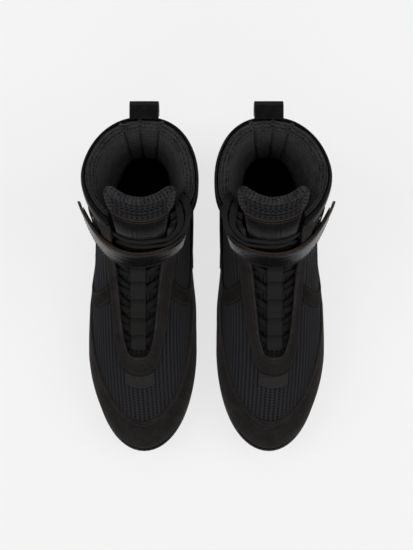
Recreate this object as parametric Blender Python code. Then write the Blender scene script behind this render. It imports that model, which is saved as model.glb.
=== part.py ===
"""A pair of boxing boots, built as separate sub-parts.

Metres, +Z up, toes towards -Y, the boots' soles on z = 0 and the pair's mirror plane at x = 0.
Tables below are in millimetres. The left boot is on the +X side, and the right one mirrors it.

A boot's outside is a stack of rings. Ring v runs in a sloping plane from a point on the front
line to a point on the back line, so a place on the boot is (u, v, offset): u goes round the ring
from the front line (0) to the back line (1 on the outer side, -1 on the inner side), v goes up
the boot, and offset is the distance outwards from the face of the upper.
"""

import math

import bmesh
import bpy
import numpy as np

for old in list(bpy.data.objects):
    bpy.data.objects.remove(old, do_unlink=True)

MM = 0.001

# The front line and the back line: ring number, y, z, and x of the front line's middle.
FRONT_LINE = (
    (0, -149, 7.1, 59.8), (1, -151.3, 12, 59.8), (2, -150.3, 22, 59.8), (3, -143.7, 32.5, 59.8),
    (4, -123.4, 43, 60.2), (5, -92, 52, 62), (6, -64, 60, 62.8), (7, -35, 71, 62.6),
    (8, -7, 85, 61.8), (9, 13, 102, 60.8), (10, 24.5, 120, 60), (11, 31, 138, 58.5),
    (12, 36.5, 152, 57.5), (13, 43, 163.5, 56.5), (14, 50, 171.5, 56), (15, 58, 179, 55.5),
)
BACK_LINE = (
    (0, 134, 7.1, 55), (1, 137.5, 13, 55), (2, 139, 24, 55), (3, 139.6, 36, 54.8),
    (4, 139.4, 48, 54.5), (5, 138.4, 60, 54.2), (6, 136.6, 73, 53.8), (7, 134.6, 87, 53.4),
    (8, 133, 101, 53), (9, 132.4, 115, 52.6), (10, 132.8, 129, 52.2), (11, 134.2, 144, 51.8),
    (12, 136.4, 159, 51.4), (13, 138.8, 173, 51.1), (14, 140.6, 184, 51), (15, 141.6, 194, 51),
)
LAST_RING = 15
COLLAR_RING = 14  # the collar's edge
# Length of a ring's rounded ends: ring number, front on the outer side, on the inner side, back.
END_LENGTHS = (
    (0, 94, 94, 42), (4, 92, 92, 44), (6, 88, 86, 46), (8, 70, 62, 48), (10, 54, 42, 50),
    (12, 56, 34, 54), (14, 52, 32, 59), (15, 54, 32, 60),
)
FRONT_POWER = 2.0
BACK_POWER = 2.3
# Half the width between the side walls, by height (rows) and by y (columns).
WIDTH_Y = (-150, -110, -60, -20, 20, 60, 100, 140)
WIDTH_Z = (5, 25, 45, 70, 100, 130, 160, 186)
WIDTH = (
    (45, 45, 46, 44.5, 39, 35.5, 34.5, 34),
    (49.6, 49.3, 49.9, 49.2, 44.5, 41, 38.5, 37.5),
    (45.5, 45.5, 46, 46, 43.6, 42, 39.5, 38),
    (43, 43.5, 44, 44, 43.2, 42, 39, 37),
    (42, 42.5, 43, 43, 42.8, 42, 39, 36.5),
    (43, 43, 43, 43, 43.5, 43.5, 42, 39),
    (44, 44, 44, 44, 45, 46, 45.5, 43),
    (47, 47, 47, 47, 48, 48.6, 48.4, 47),
)
# The middle between the side walls, by y.
MIDDLE_Y = (-150, -110, -50, 0, 40, 90, 118, 140)
MIDDLE_X = (59.8, 60.2, 60.9, 60.3, 58.2, 55.2, 53.4, 51)
TOE_SPRING_FROM = -92
TOE_SPRING_LENGTH = 63
TOE_SPRING_RISE = 7
SPRING_FADES_AT_RING = 5

# Half the throat's width, measured along the surface, by ring number.
THROAT = (
    (6, 0), (6.12, 9), (6.3, 13.5), (6.6, 16.5), (7, 18.1), (8, 20.9), (9, 22.8), (10, 24.2),
    (11, 25.2), (12, 25.6), (13, 26.2), (14, 27), (15, 27.4),
)
THROAT_FOOT = 7.2  # above this ring the quarters reach the throat
SEAM_U = 0.54  # where the vamp meets the quarters
SEAM_GAP = 0.015
# The seam's height from the throat down to the side, as u and ring number.
SEAM = (
    (0, 5.75), (0.06, 5.82), (0.1, 6.2), (0.128, 7.2), (0.2, 7.0), (0.36, 5.6), (0.5, 4.4), (0.54, 4.15),
)
GUARD_TOP = ((0, 4.0), (0.12, 4.06), (0.3, 4.16), (0.45, 4.05), (0.56, 3.98))
HEEL_TOP = ((0.56, 3.98), (0.66, 4.2), (0.74, 4.9), (0.82, 7.0), (0.9, 8.6), (1, 9.2))

# Columns round one side of the boot, shared by the layers so that they nest: vamp, then quarter.
FRONT_COLUMNS = tuple(SEAM_U * (k / 12) ** 1.2 for k in range(13))
QUARTER_SHARES = (0, 0.04, 0.08, 0.13, 0.2, 0.29, 0.4, 0.51, 0.62, 0.72, 0.81, 0.89, 0.95, 1)
BACK_COLUMNS = tuple(SEAM_U + SEAM_GAP + share * (1 - SEAM_U - SEAM_GAP) for share in QUARTER_SHARES)
FOOT_ROWS = (0.35, 1.3, 2.3, 3.2)
# Layers of the upper, as distances inwards from the outside.
MESH_THICK = 1.2
OVERLAY_IN = 0.6
OVERLAY_OUT = 1.7
BAND = (0.9, 1.9)
STRIP = (2.9, 3.7)
STIFFENER = (-2.5, -1.7)
LINER_OUT = -1.9
LINER_OUT_LOW = -3.4  # behind the stiffeners
VAMP_LINER = (-4.3, -3.1)

# Sole stack: heights above the ground, under the flat part.
SOLE_FLOOR = 4.0
MIDSOLE = (4.3, 6.8)
BOARD = (7.1, 8.9)
FOOTBED = (9.2, 12.7)

# The strap: rings at its lower and upper edges, its thickness, and its two ends.
STRAP_RINGS = (9.9, 11.75)
STRAP_THICK = 2.2
STRAP_ROOT_MM = 42  # inner side, along the surface from the front line
STRAP_TIP_MM = 68  # outer side
STRAP_POINT_MM = 20  # length of the pointed end
PAD_LENGTH = 22  # the hook and loop pads, along the strap
HOOK_THICK = 0.9

TONGUE_LINE = (
    (0, 43.5, 162.8), (1, 46, 168), (2, 51, 175), (3, 58.5, 182), (4, 67, 188), (5, 74.5, 191.8),
)
TONGUE_TOP_HALF = ((0, 22.5), (1, 23.5), (2, 25), (3, 27.5), (4, 30.5), (5, 32.5))
TONGUE_TOP_RADIUS = 39
TONGUE_TOP_X = 54.2

TAB_HALF_WIDTH = 11.8
TAB_THICK = 1.6
TAB_OUTLINE = (
    (0, 0), (6.2, 2.2), (9.4, 6.5), (10.4, 11), (8.6, 14.8), (3.4, 16), (-3.6, 15.9), (-4.2, 13.9),
    (-0.6, 9.6), (0, 4.6),
)

LACE_WIDTH = 5.6
LACE_THICK = 0.9
CROSSINGS = (6.42, 6.97, 7.53, 8.17, 8.92, 9.75)  # ring numbers of the lace's crossings
LOOP_OUT_MM = 4.6  # how far under the throat's edge the lace turns
TURN_RADIUS = 4.0
LACE_EDGE = -3.55  # the lace's offsets: under the throat's edge, and at a crossing
LACE_HIGH = -3.1
LACE_LOW = -4.6
# The lace above its crossings, as mm from the front line, ring number and offset: the strand
# from the outer side, the strand from the inner side, and both ends over the collar's edge.
LACE_OUTER_RISE = (
    (26, 10.4, -3), (26.6, 11, -3), (26.4, 11.7, -3), (25, 12.35, -2.9), (20, 12.66, -1.4),
    (13, 12.7, -0.3), (0, 12.68, 0), (-12, 12.68, 0.6), (-19, 12.7, 2), (-25, 12.74, 2.8),
    (-30, 12.95, 2.8), (-34, 13.35, 2.8), (-35.5, 13.8, 2.7),
)
LACE_INNER_RISE = (
    (-25.4, 10.25, -3), (-22, 10.75, -3), (-8, 10.95, LACE_HIGH), (0, 11.03, LACE_HIGH),
    (8, 11.12, -3), (15, 11.35, -2.6), (18.5, 11.7, -2.4), (14, 12.02, -1.6), (7, 12.08, -0.6),
    (0, 12.08, -0.2), (-12, 12.08, 0.6), (-19, 12.1, 2), (-26, 12.14, 2.8), (-33, 12.3, 2.8),
    (-39, 12.7, 2.8), (-42, 13.2, 2.8), (-43, 13.8, 2.7),
)
LACE_OVER_RIM = (
    (14.3, 2.4), (14.78, -0.5), (15, -3.8), (15, -7.1), (14.8, -10.6), (14.3, -12.3),
    (13.5, -12.8), (12.6, -12.5),
)
LACE_END_MM = (-35.5, -43.5)
WEBBING_LOW = -4.85
WEBBING_HIGH = -1.5


def smooth(x, xs, ys):
    """A smooth curve through the points (xs, ys), flat where they turn back."""
    xs = np.asarray(xs, float)
    ys = np.asarray(ys, float)
    x = np.clip(np.asarray(x, float), xs[0], xs[-1])
    step = np.diff(xs)
    slope = np.diff(ys) / step
    tangent = np.zeros(len(xs))
    tangent[0], tangent[-1] = slope[0], slope[-1]
    same = slope[1:] * slope[:-1] > 0
    mean = 2 * slope[1:] * slope[:-1] / np.where(same, slope[1:] + slope[:-1], 1)
    tangent[1:-1] = np.where(same, mean, 0)
    i = np.clip(np.searchsorted(xs, x, side="right") - 1, 0, len(step) - 1)
    t = (x - xs[i]) / step[i]
    return (
        (2 * t**3 - 3 * t**2 + 1) * ys[i]
        + (t**3 - 2 * t**2 + t) * step[i] * tangent[i]
        + (3 * t**2 - 2 * t**3) * ys[i + 1]
        + (t**3 - t**2) * step[i] * tangent[i + 1]
    )


def column(table, x, k=1):
    """Column k of a table of rows, read smoothly at x in its first column."""
    return smooth(x, [row[0] for row in table], [row[k] for row in table])


def spring(y):
    """How far the toe lifts the sole at y."""
    past = np.clip((TOE_SPRING_FROM - np.asarray(y, float)) / TOE_SPRING_LENGTH, 0, 1.2)
    return TOE_SPRING_RISE * past**2


def half_width(y, z):
    """Half the distance between the boot's side walls."""
    rows = np.array([smooth(y, WIDTH_Y, row) for row in WIDTH])
    z = np.clip(z, WIDTH_Z[0], WIDTH_Z[-1])
    i = np.clip(np.searchsorted(WIDTH_Z, z, side="right") - 1, 0, len(WIDTH_Z) - 2)
    low = np.array(WIDTH_Z)[i]
    t = (z - low) / (np.array(WIDTH_Z)[i + 1] - low)
    t = t * t * (3 - 2 * t) * 0.5 + t * 0.5
    k = np.arange(len(z))
    return rows[i, k] * (1 - t) + rows[i + 1, k] * t


def end_factor(distance, length, power):
    """1 along the side walls, falling round to 0 at the end of a ring."""
    t = np.clip(distance / length, 0, 1)
    return (1 - (1 - t) ** power) ** (1 / power)


RING_STEPS = 16  # rows of the surface table for each ring number
SIDE_STEPS = 120  # columns of the table for each side


def half_ring(v, side):
    """Points along ring v from the front line to the back line, evenly spaced, and their length."""
    t = (1 - np.cos(np.linspace(0, math.pi, 401))) / 2
    front = [float(column(FRONT_LINE, v, k)) for k in (1, 2, 3)]
    back = [float(column(BACK_LINE, v, k)) for k in (1, 2, 3)]
    y = front[0] + t * (back[0] - front[0])
    z = front[1] + t * (back[1] - front[1])
    line_x = front[2] + t * (back[2] - front[2])
    length = back[0] - front[0]
    front_length = float(column(END_LENGTHS, v, 1 if side > 0 else 2))
    round_front = end_factor(t * length, front_length, FRONT_POWER)
    round_back = end_factor((1 - t) * length, float(column(END_LENGTHS, v, 3)), BACK_POWER)
    wall_x = smooth(y, MIDDLE_Y, MIDDLE_X) + side * half_width(y, z)
    x = line_x + (wall_x - line_x) * round_front * round_back
    z = z + spring(y) * max(0.0, 1 - v / SPRING_FADES_AT_RING)
    points = np.stack([x, y, z], 1)
    run = np.concatenate([[0], np.cumsum(np.linalg.norm(np.diff(points, axis=0), axis=1))])
    even = np.linspace(0, run[-1], SIDE_STEPS + 1)
    return np.stack([np.interp(even, run, points[:, k]) for k in range(3)], 1), run[-1]


def surface_table():
    """The boot's outside as a grid of points and normals, with each half ring's length."""
    rings = np.linspace(0, LAST_RING, LAST_RING * RING_STEPS + 1)
    points, girth = [], []
    for v in rings:
        outer, outer_run = half_ring(v, 1)
        inner, inner_run = half_ring(v, -1)
        points.append(np.concatenate([inner[::-1], outer[1:]]))
        girth.append((outer_run, inner_run))
    points = np.array(points)
    along = np.empty_like(points)
    along[:, 1:-1] = points[:, 2:] - points[:, :-2]
    along[:, 0] = along[:, -1] = points[:, 1] - points[:, -2]
    up = np.gradient(points, axis=0)
    normal = np.cross(along, up)
    normal /= np.linalg.norm(normal, axis=2, keepdims=True)
    return points, normal, np.array(girth)


POINTS, NORMALS, GIRTHS = surface_table()


def girth(v, side):
    """Length of half a ring, in mm."""
    rings = np.linspace(0, LAST_RING, len(GIRTHS))
    return np.interp(v, rings, GIRTHS[:, 0 if side > 0 else 1])


def place(u, v, offset):
    """Points in mm for arrays of u, v and offset. u past 1 or -1 carries on round the back."""
    u, v, offset = np.broadcast_arrays(*(np.asarray(a, float) for a in (u, v, offset)))
    across = ((u + 1) % 2) * SIDE_STEPS
    rise = np.clip(v, 0, LAST_RING) * RING_STEPS
    i = np.minimum(across.astype(int), 2 * SIDE_STEPS - 1)
    j = np.minimum(rise.astype(int), LAST_RING * RING_STEPS - 1)
    s, t = (across - i)[..., None], (rise - j)[..., None]

    def read(grid):
        low = grid[j, i] * (1 - s) + grid[j, i + 1] * s
        high = grid[j + 1, i] * (1 - s) + grid[j + 1, i + 1] * s
        return low * (1 - t) + high * t

    normal = read(NORMALS)
    normal = normal / np.linalg.norm(normal, axis=-1, keepdims=True)
    return read(POINTS) + normal * offset[..., None]


def from_front(mm, v):
    """u of a place mm along the surface from the front line; the inner side is negative."""
    mm, v = np.broadcast_arrays(np.asarray(mm, float), np.asarray(v, float))
    return np.where(mm >= 0, mm / girth(v, 1), mm / girth(v, -1))


def from_back(mm, v):
    """u of a place mm from the back line; the inner side is negative and gives u over 1."""
    mm, v = np.broadcast_arrays(np.asarray(mm, float), np.asarray(v, float))
    return np.where(mm >= 0, 1 - mm / girth(v, 1), 1 - mm / girth(v, -1))


# ---- meshes -------------------------------------------------------------------------------

SUEDE = (0.026, 0.023, 0.021)
MESH = (0.022, 0.024, 0.03)
LEATHER = (0.02, 0.019, 0.018)
WEBBING = (0.03, 0.028, 0.027)
PAD = (0.02, 0.02, 0.02)
TERRY = (0.03, 0.028, 0.03)
GLOSS = (0.014, 0.013, 0.013)
FIBRE_SHEET = (0.25, 0.24, 0.22)
COLORS = {}


def material(name, color, roughness, metallic=0.0):
    """One Principled material, made once."""
    if name in COLORS:
        return COLORS[name]
    made = bpy.data.materials.new(name)
    made.use_nodes = True
    shader = made.node_tree.nodes["Principled BSDF"]
    shader.inputs["Base Color"].default_value = (*color, 1)
    shader.inputs["Roughness"].default_value = roughness
    shader.inputs["Metallic"].default_value = metallic
    COLORS[name] = made
    return made


def grid_faces(rows, columns, closed_rows=False, closed_columns=False, start=0):
    """Quads of a grid whose points run row by row."""
    faces = []
    for r in range(rows if closed_rows else rows - 1):
        for c in range(columns if closed_columns else columns - 1):
            a = start + r * columns + c
            b = start + r * columns + (c + 1) % columns
            d = start + (r + 1) % rows * columns + c
            e = start + (r + 1) % rows * columns + (c + 1) % columns
            faces.append((a, b, e, d))
    return faces


def panel(u, v, inner, outer):
    """Points and faces of a sheet with thickness over a grid of (u, v)."""
    rows, columns = u.shape
    top = place(u, v, outer).reshape(-1, 3)
    under = place(u, v, inner).reshape(-1, 3)
    return sheet(top, under, rows, columns)


def sheet(top, under, rows, columns):
    """A closed sheet between two grids of points, top facing out."""
    count = rows * columns
    faces = grid_faces(rows, columns)
    faces += [tuple(count + i for i in reversed(face)) for face in grid_faces(rows, columns)]
    edge = list(range(columns))
    edge += [r * columns + columns - 1 for r in range(1, rows)]
    edge += [(rows - 1) * columns + c for c in range(columns - 2, -1, -1)]
    edge += [r * columns for r in range(rows - 2, 0, -1)]
    for a, b in zip(edge, edge[1:] + edge[:1]):
        faces.append((b, a, count + a, count + b))
    return np.concatenate([top, under]), faces


def loft(sections):
    """A tube through sections, which are equal closed loops of points, its ends filled across."""
    count, size = sections.shape[:2]
    faces = grid_faces(count, size, closed_columns=True)
    last = (count - 1) * size
    for i in range(size // 2 - 1):
        quad = (i, i + 1, size - 2 - i, size - 1 - i)
        faces.append(tuple(reversed(quad)))
        faces.append(tuple(last + n for n in quad))
    if size % 2:
        middle = (size // 2 - 1, size // 2, size // 2 + 1)
        faces.append(tuple(reversed(middle)))
        faces.append(tuple(last + n for n in middle))
    return sections.reshape(-1, 3), faces


def ladder(loops):
    """A closed plate from outline loops, bottom first, filled across between mirrored points."""
    count = len(loops[0])
    points = np.concatenate(loops)
    faces = []
    for k in range(len(loops) - 1):
        for i in range(count):
            j = (i + 1) % count
            faces.append((k * count + i, k * count + j, (k + 1) * count + j, (k + 1) * count + i))
    top = (len(loops) - 1) * count
    for i in range(count // 2):
        left, right = i, i + 1
        far_left, far_right = (count - i) % count, count - i - 1
        quad = list(dict.fromkeys((left, right, far_right, far_left)))
        faces.append(tuple(top + n for n in quad))
        faces.append(tuple(reversed(quad)))
    return points, faces


class Boot:
    """Adds one boot's sub-parts to the scene; side is 1 for the left boot and -1 for the right."""

    def __init__(self, name, side):
        self.name = name
        self.side = side

    def world(self, points):
        """Boot points in mm as this boot's points in metres."""
        return np.asarray(points, float) * (self.side, 1, 1) * MM

    def add(self, part, shape, color, roughness, origin=(0, 0, 0), metallic=0.0):
        """Makes the object for one sub-part, with its origin at a point given in boot mm."""
        points, faces = shape
        origin = self.world(origin)
        mesh = bpy.data.meshes.new(f"{self.name}_{part}")
        mesh.from_pydata([tuple(p) for p in self.world(points) - origin], [], faces)
        built = bmesh.new()
        built.from_mesh(mesh)
        bmesh.ops.recalc_face_normals(built, faces=built.faces)
        built.to_mesh(mesh)
        built.free()
        thing = bpy.data.objects.new(f"{self.name}_{part}", mesh)
        thing.location = origin
        bpy.context.scene.collection.objects.link(thing)
        mesh.materials.append(material(part, color, roughness, metallic))
        return thing


# ---- the sole ------------------------------------------------------------------------------


def outline(inset, height, ring=0.7):
    """A loop round the boot's foot, moved inwards by inset, at a height over the curved ground."""
    half = FRONT_COLUMNS[1::2] + BACK_COLUMNS[1:-1:2]
    u = np.array([-1.0, *(-value for value in reversed(half)), 0.0, *half])
    loop = place(u, ring, -inset)
    loop[:, 2] = height + spring(loop[:, 1])
    return loop


def foot_u():
    """u of the columns all round the foot, from the back line round by the inner side."""
    half = (*FRONT_COLUMNS[1:], *BACK_COLUMNS[1:-1])
    return np.array([-1.0, *(-value for value in reversed(half)), 0.0, *half])


def outsole(boot):
    """A cupped rubber sole, its rim raised into a bumper round the toe."""
    u = foot_u()
    toe = np.clip(1 - np.abs(u) / 0.34, 0, 1)
    rim = 0.75 + 0.95 * toe**0.8
    under = place(u, 0, 0.5)
    under[:, 2] = spring(under[:, 1])
    foot = place(u, 0, 3.6)
    foot[:, 2] = 1.2 + spring(foot[:, 1])
    floor = place(u, 0, 2.1)
    floor[:, 2] = SOLE_FLOOR + spring(floor[:, 1])
    wall = place(u, 0.2, 4.4)
    loops = [under, foot, wall, place(u, rim - 0.1, 4.6), place(u, rim, 3.9), place(u, rim, 2.3),
             place(u, rim / 2, 2.2), floor]
    thing = boot.add("outsole", ladder(loops), (0.02, 0.02, 0.021), 0.45)
    bars = bmesh.new()
    for y in (*range(-84, 6, 14), *range(84, 128, 14)):
        middle = float(smooth(y, MIDDLE_Y, MIDDLE_X))
        half = float(half_width(np.array([y]), np.array([5.0]))[0]) - 11
        box = bmesh.ops.create_cube(bars, size=1)["verts"]
        bmesh.ops.scale(bars, vec=(2 * half * MM, 2.6 * MM, 2.6 * MM), verts=box)
        bmesh.ops.translate(bars, vec=(boot.side * middle * MM, y * MM, 0), verts=box)
    mesh = bpy.data.meshes.new("tread_cutter")
    bars.to_mesh(mesh)
    bars.free()
    cutter = bpy.data.objects.new(f"{boot.name}_tread_cutter", mesh)
    bpy.context.scene.collection.objects.link(cutter)
    cutter.hide_render = True
    cutter.display_type = "WIRE"
    cut = thing.modifiers.new("tread", "BOOLEAN")
    cut.operation = "DIFFERENCE"
    cut.object = cutter


def plate(boot, part, inset, heights, ring, color, roughness):
    """A flat layer of the sole stack."""
    low = outline(inset, heights[0], ring)
    high = outline(inset, heights[1], ring)
    boot.add(part, ladder([low, high]), color, roughness)


# ---- the upper -----------------------------------------------------------------------------


def seam_height(u):
    """Ring number of the vamp's upper seam at u."""
    return column(SEAM, np.abs(u))


def front_columns(most, ends=()):
    """u of the front columns up to a limit on both sides, and extra ends."""
    half = [value for value in FRONT_COLUMNS[1:] if value <= most] + list(ends)
    return np.array([-value for value in reversed(half)] + [0.0] + half)


def vamp_rows(u, rows, low=0, most=COLLAR_RING):
    """Ring numbers over the vamp: the foot's shared rows, then up to the seam or to a limit."""
    top = column(GUARD_TOP, np.abs(u))
    lower = [np.full(len(u), value) for value in FOOT_ROWS[low:]]
    edge = np.minimum(seam_height(u), most)
    upper = [top + share * (edge - top) for share in np.linspace(0, 1, rows)]
    return np.array(lower + upper)


def seam_u(v):
    """u of the seam's falling side at ring v, for the quarters' front edge."""
    falling = SEAM[3:]
    return smooth(-np.asarray(v, float), [-row[1] for row in falling], [row[0] for row in falling])


QUARTER_ROWS = (*FOOT_ROWS, 4.1, 5.2, 6.2, 7.1, 7.3, 8, 8.7, 9.4, 10.3, 11.4, 12.6, 13.9)


def throat_u(v, side, past):
    """u of the throat's edge plus a distance outwards."""
    return from_front(side * (column(THROAT, v) + past), v)


def quarter(boot, part, side):
    """One quarter, from the seam and the throat round to the back line."""
    v = np.array(QUARTER_ROWS)
    along_seam = side * (seam_u(np.maximum(v, SEAM[-1][1])) + SEAM_GAP)
    front = np.where(v < THROAT_FOOT, along_seam, throat_u(v, side, 0.4))
    back = from_back(side * 0.25, v)
    back = np.where(back > 1, back - 2, back)
    share = np.array(QUARTER_SHARES)
    u = front[:, None] + share * (back - front)[:, None]
    grid_v = np.tile(v[:, None], (1, len(share)))
    boot.add(part, panel(u, grid_v, -MESH_THICK, 0.0), MESH, 0.75)


def collar_lining(boot):
    """The padded lining: up the inside of both quarters, rolled over the collar's edge."""
    base = (1.3, 3.2, *QUARTER_ROWS[5:])
    outer = [(v, LINER_OUT_LOW if v < 7.4 else LINER_OUT) for v in base]
    rim = [(14.5, -2.4), (14.84, -4.8), (14.84, -7.4), (14.45, -9.8)]
    inner = [(v, float(np.interp(v, (0.9, 6, 9, 11, 13.5), (-6.3, -7, -7.8, -9, -10.6))))
             for v in reversed(base)]
    section = outer + rim + inner
    v = np.array([row[0] for row in section])
    offset = np.array([row[1] for row in section])
    edge_v = np.clip(v, 0, 14)
    along = np.where(v < THROAT_FOOT, seam_u(np.clip(v, 4.15, 7.2)) + 0.08, 0)
    outer_front = np.where(v < THROAT_FOOT, along, throat_u(edge_v, 1, lining_setback(v)))
    inner_front = np.where(v < THROAT_FOOT, along, -throat_u(edge_v, -1, lining_setback(v)))
    share = np.concatenate([np.array(QUARTER_SHARES) / 2, 1 - np.array(QUARTER_SHARES[-2::-1]) / 2])
    u = outer_front + share[:, None] * (2 - inner_front - outer_front)
    reach = np.minimum(share, 1 - share)[:, None] * 260
    padding = np.clip(0.3 + 0.7 * reach / 38, 0.3, 1)
    thinned = LINER_OUT + (offset - LINER_OUT) * padding
    sections = place(u, v, np.where(offset < LINER_OUT_LOW - 0.01, thinned, offset))
    boot.add("collar_lining", loft(sections), TERRY, 0.9)


def lining_setback(v):
    """How far the padded lining stays back from the throat's edge."""
    return np.interp(v, (7.2, 11.9, 12.9, 14), (10.6, 10.6, 6.5, 1.4))


def toe_puff(boot):
    """The stiff shell in the toe, between the vamp and its lining."""
    grid_u, grid_v = np.meshgrid(front_columns(0.31), FOOT_ROWS[1:] + (3.8,))
    boot.add("toe_puff", panel(grid_u, grid_v, *STIFFENER), FIBRE_SHEET, 0.7)


def heel_counter(boot):
    """The stiff shell in the heel, between the quarters and the lining."""
    half = BACK_COLUMNS[5:-1]
    u = np.array([*half, 1.0, *(2 - value for value in reversed(half))])
    grid_u, grid_v = np.meshgrid(u, QUARTER_ROWS[1:5])
    boot.add("heel_counter", panel(grid_u, grid_v, *STIFFENER), FIBRE_SHEET, 0.7)


def toe_guard(boot):
    """The suede round the toe and the sides of the forefoot."""
    u = front_columns(SEAM_U, (SEAM_U + 0.9 * SEAM_GAP,))
    v = np.array([np.full(len(u), value) for value in FOOT_ROWS] + [column(GUARD_TOP, np.abs(u))])
    grid_u = np.tile(u, (len(v), 1))
    boot.add("toe_guard", panel(grid_u, v, OVERLAY_IN, OVERLAY_OUT), SUEDE, 0.9)


def heel_cover(boot):
    """The suede round the heel, rising to a peak at the back."""
    half = BACK_COLUMNS[1:-1]
    u = np.array([*half, 1.0, *(2 - value for value in reversed(half))])
    mirrored = np.where(u > 1, 2 - u, u)
    top = column(HEEL_TOP, mirrored)
    low = [np.full(len(u), value) for value in FOOT_ROWS]
    high = [3.9 + share * (top - 3.9) for share in (0.0, 0.3, 0.65, 1.0)]
    v = np.array(low + high)
    grid_u = np.tile(u, (len(v), 1))
    inner = np.where(v > 4.3, BAND[0] + 0.3, OVERLAY_IN)
    outer = inner + OVERLAY_OUT - OVERLAY_IN
    boot.add("heel_cover", panel(grid_u, v, inner, outer), SUEDE, 0.9)


# The eyestay by its share from the foot of the throat to its top: ring of its inner and outer
# edges; its foot's reach across at both edges, mm; its width on the outer and inner sides, mm.
EYESTAY_RINGS = (
    (0, 6.0, 5.42), (0.08, 6.01, 5.46), (0.16, 6.1, 5.72), (0.24, 6.45, 6.3), (0.34, 7.1, 7.05),
    (0.48, 8.2, 8.2), (0.62, 9.5, 9.5), (0.8, 11.6, 11.6), (1, 13.6, 13.6),
)
EYESTAY_FOOT = ((0, 0, 0), (0.08, 5.6, 12.4), (0.16, 11, 22.4), (0.2, 13, 24.2))
EYESTAY_WIDTH = ((0.2, 11, 11), (0.34, 9.5, 15.5), (0.5, 9.2, 16), (0.8, 9, 11.5), (1, 8.5, 9.2))


def eyestay_edges(s):
    """The eyestay's inner and outer edges: s runs -1..1 from the inner side's top to the outer's."""
    side = np.where(s < 0, -1, 1)
    a = np.abs(s)
    v_in, v_out = column(EYESTAY_RINGS, a), column(EYESTAY_RINGS, a, 2)
    foot = a < EYESTAY_FOOT[-1][0]
    reach_in = np.where(foot, column(EYESTAY_FOOT, a), column(THROAT, np.maximum(v_in, 6.001)))
    width = column(EYESTAY_WIDTH, a, 1)
    width = np.where(side < 0, column(EYESTAY_WIDTH, a, 2), width)
    reach_out = np.where(foot, column(EYESTAY_FOOT, a, 2), reach_in + width)
    return side * reach_in, v_in, side * reach_out, v_out


def eyestay(boot):
    """The suede facing round the throat, in one piece."""
    s = np.linspace(-1, 1, 35)
    mm_in, v_in, mm_out, v_out = eyestay_edges(s)
    share = np.linspace(0, 1, 3)[:, None]
    v = v_in + share * (v_out - v_in)
    mm = mm_in + share * (mm_out - mm_in)
    boot.add("eyestay", panel(from_front(mm, v), v, OVERLAY_IN, OVERLAY_OUT), SUEDE, 0.9)


def side_band(boot, part, side):
    """The diagonal band from the eyestay down to the guard."""
    past_throat = (11.8, 11.2) if side > 0 else (17.4, 18)
    tops = ((throat_u(7.35, 1, past_throat[0]), 7.45), (throat_u(7.9, 1, past_throat[1]), 8.0))
    feet = ((0.5, 4.35), (0.56, 4.35))
    share = np.linspace(0, 1, 15)
    edges = []
    for top, foot in zip(tops, feet):
        sag = 0.25 * np.sin(math.pi * share)
        along = top[0] + share * (foot[0] - top[0])
        edges.append(np.stack([along, top[1] + share * (foot[1] - top[1]) - sag], 1))
    mix = np.linspace(0, 1, 4)[:, None, None]
    band = edges[0] + mix * (edges[1] - edges[0])
    boot.add(part, panel(side * band[..., 0], band[..., 1], *BAND), SUEDE, 0.9)


def vamp_tab(boot):
    """The small leather tab under the eyestay's foot."""
    v = np.linspace(5.03, 5.37, 4)
    mm = np.linspace(-14.3, 14.3, 9)
    grid_mm, grid_v = np.meshgrid(mm, v)
    boot.add("vamp_tab", panel(from_front(grid_mm, grid_v), grid_v, OVERLAY_IN, 1.3), LEATHER, 0.4)


def collar_binding(boot):
    """The thin glossy edge round the outside of the collar."""
    section = (
        (13.2, 0.7), (13.2, 1.5), (14.05, 1.5), (14.3, 0.9), (14.3, -0.6), (14.05, -1.2), (14.02, 0.6),
    )
    v = np.array([row[0] for row in section])
    offset = np.array([row[1] for row in section])
    start = throat_u(13.7, 1, 9.5)
    end = 2 + throat_u(13.7, -1, 15.5)
    u = np.linspace(float(start), float(end), 21)[:, None]
    boot.add("collar_binding", loft(place(u, v, offset)), (0.015, 0.014, 0.014), 0.25)


def back_strip(boot):
    """The leather strip up the back seam."""
    v = np.linspace(1.5, 13.0, 11)
    mm = np.linspace(-8.5, 8.5, 4)
    grid_mm, grid_v = np.meshgrid(mm, v)
    boot.add("back_strip", panel(from_back(-grid_mm, grid_v), grid_v, *STRIP), LEATHER, 0.4)


# ---- the tongue ----------------------------------------------------------------------------


def tongue(boot):
    """The padded tongue below its bend, with thin edges tucked under the throat."""
    v = np.array([5.6, 6, 6.5, 7, 7.7, 8.5, 9.3, 10.1, 10.9, 11.7, 12.5])
    half = np.interp(v, (5.6, 6.2, 7, 9, 10.5, 11.5, 12.5), (13, 20, 27.5, 32, 32.5, 28, 24))
    outer = np.interp(v, (5.6, 6.2, 7.5, 10.5, 12.5), (-5.3, -6, -6.6, -6.4, -2.9))
    share = np.linspace(-1, 1, 9)
    mm = half[:, None] * share
    grid_v = np.tile(v[:, None], (1, len(share)))
    edge = 1 - np.abs(share) ** 4
    top = np.minimum(outer[:, None] - 0.8 * (1 - edge), -5.2 * (np.abs(mm) > 16) - 1.8)
    inner = top - 1.2 - 3.4 * edge
    boot.add("tongue", panel(from_front(mm, grid_v), grid_v, inner, top), (0.028, 0.028, 0.032), 0.85)


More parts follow.
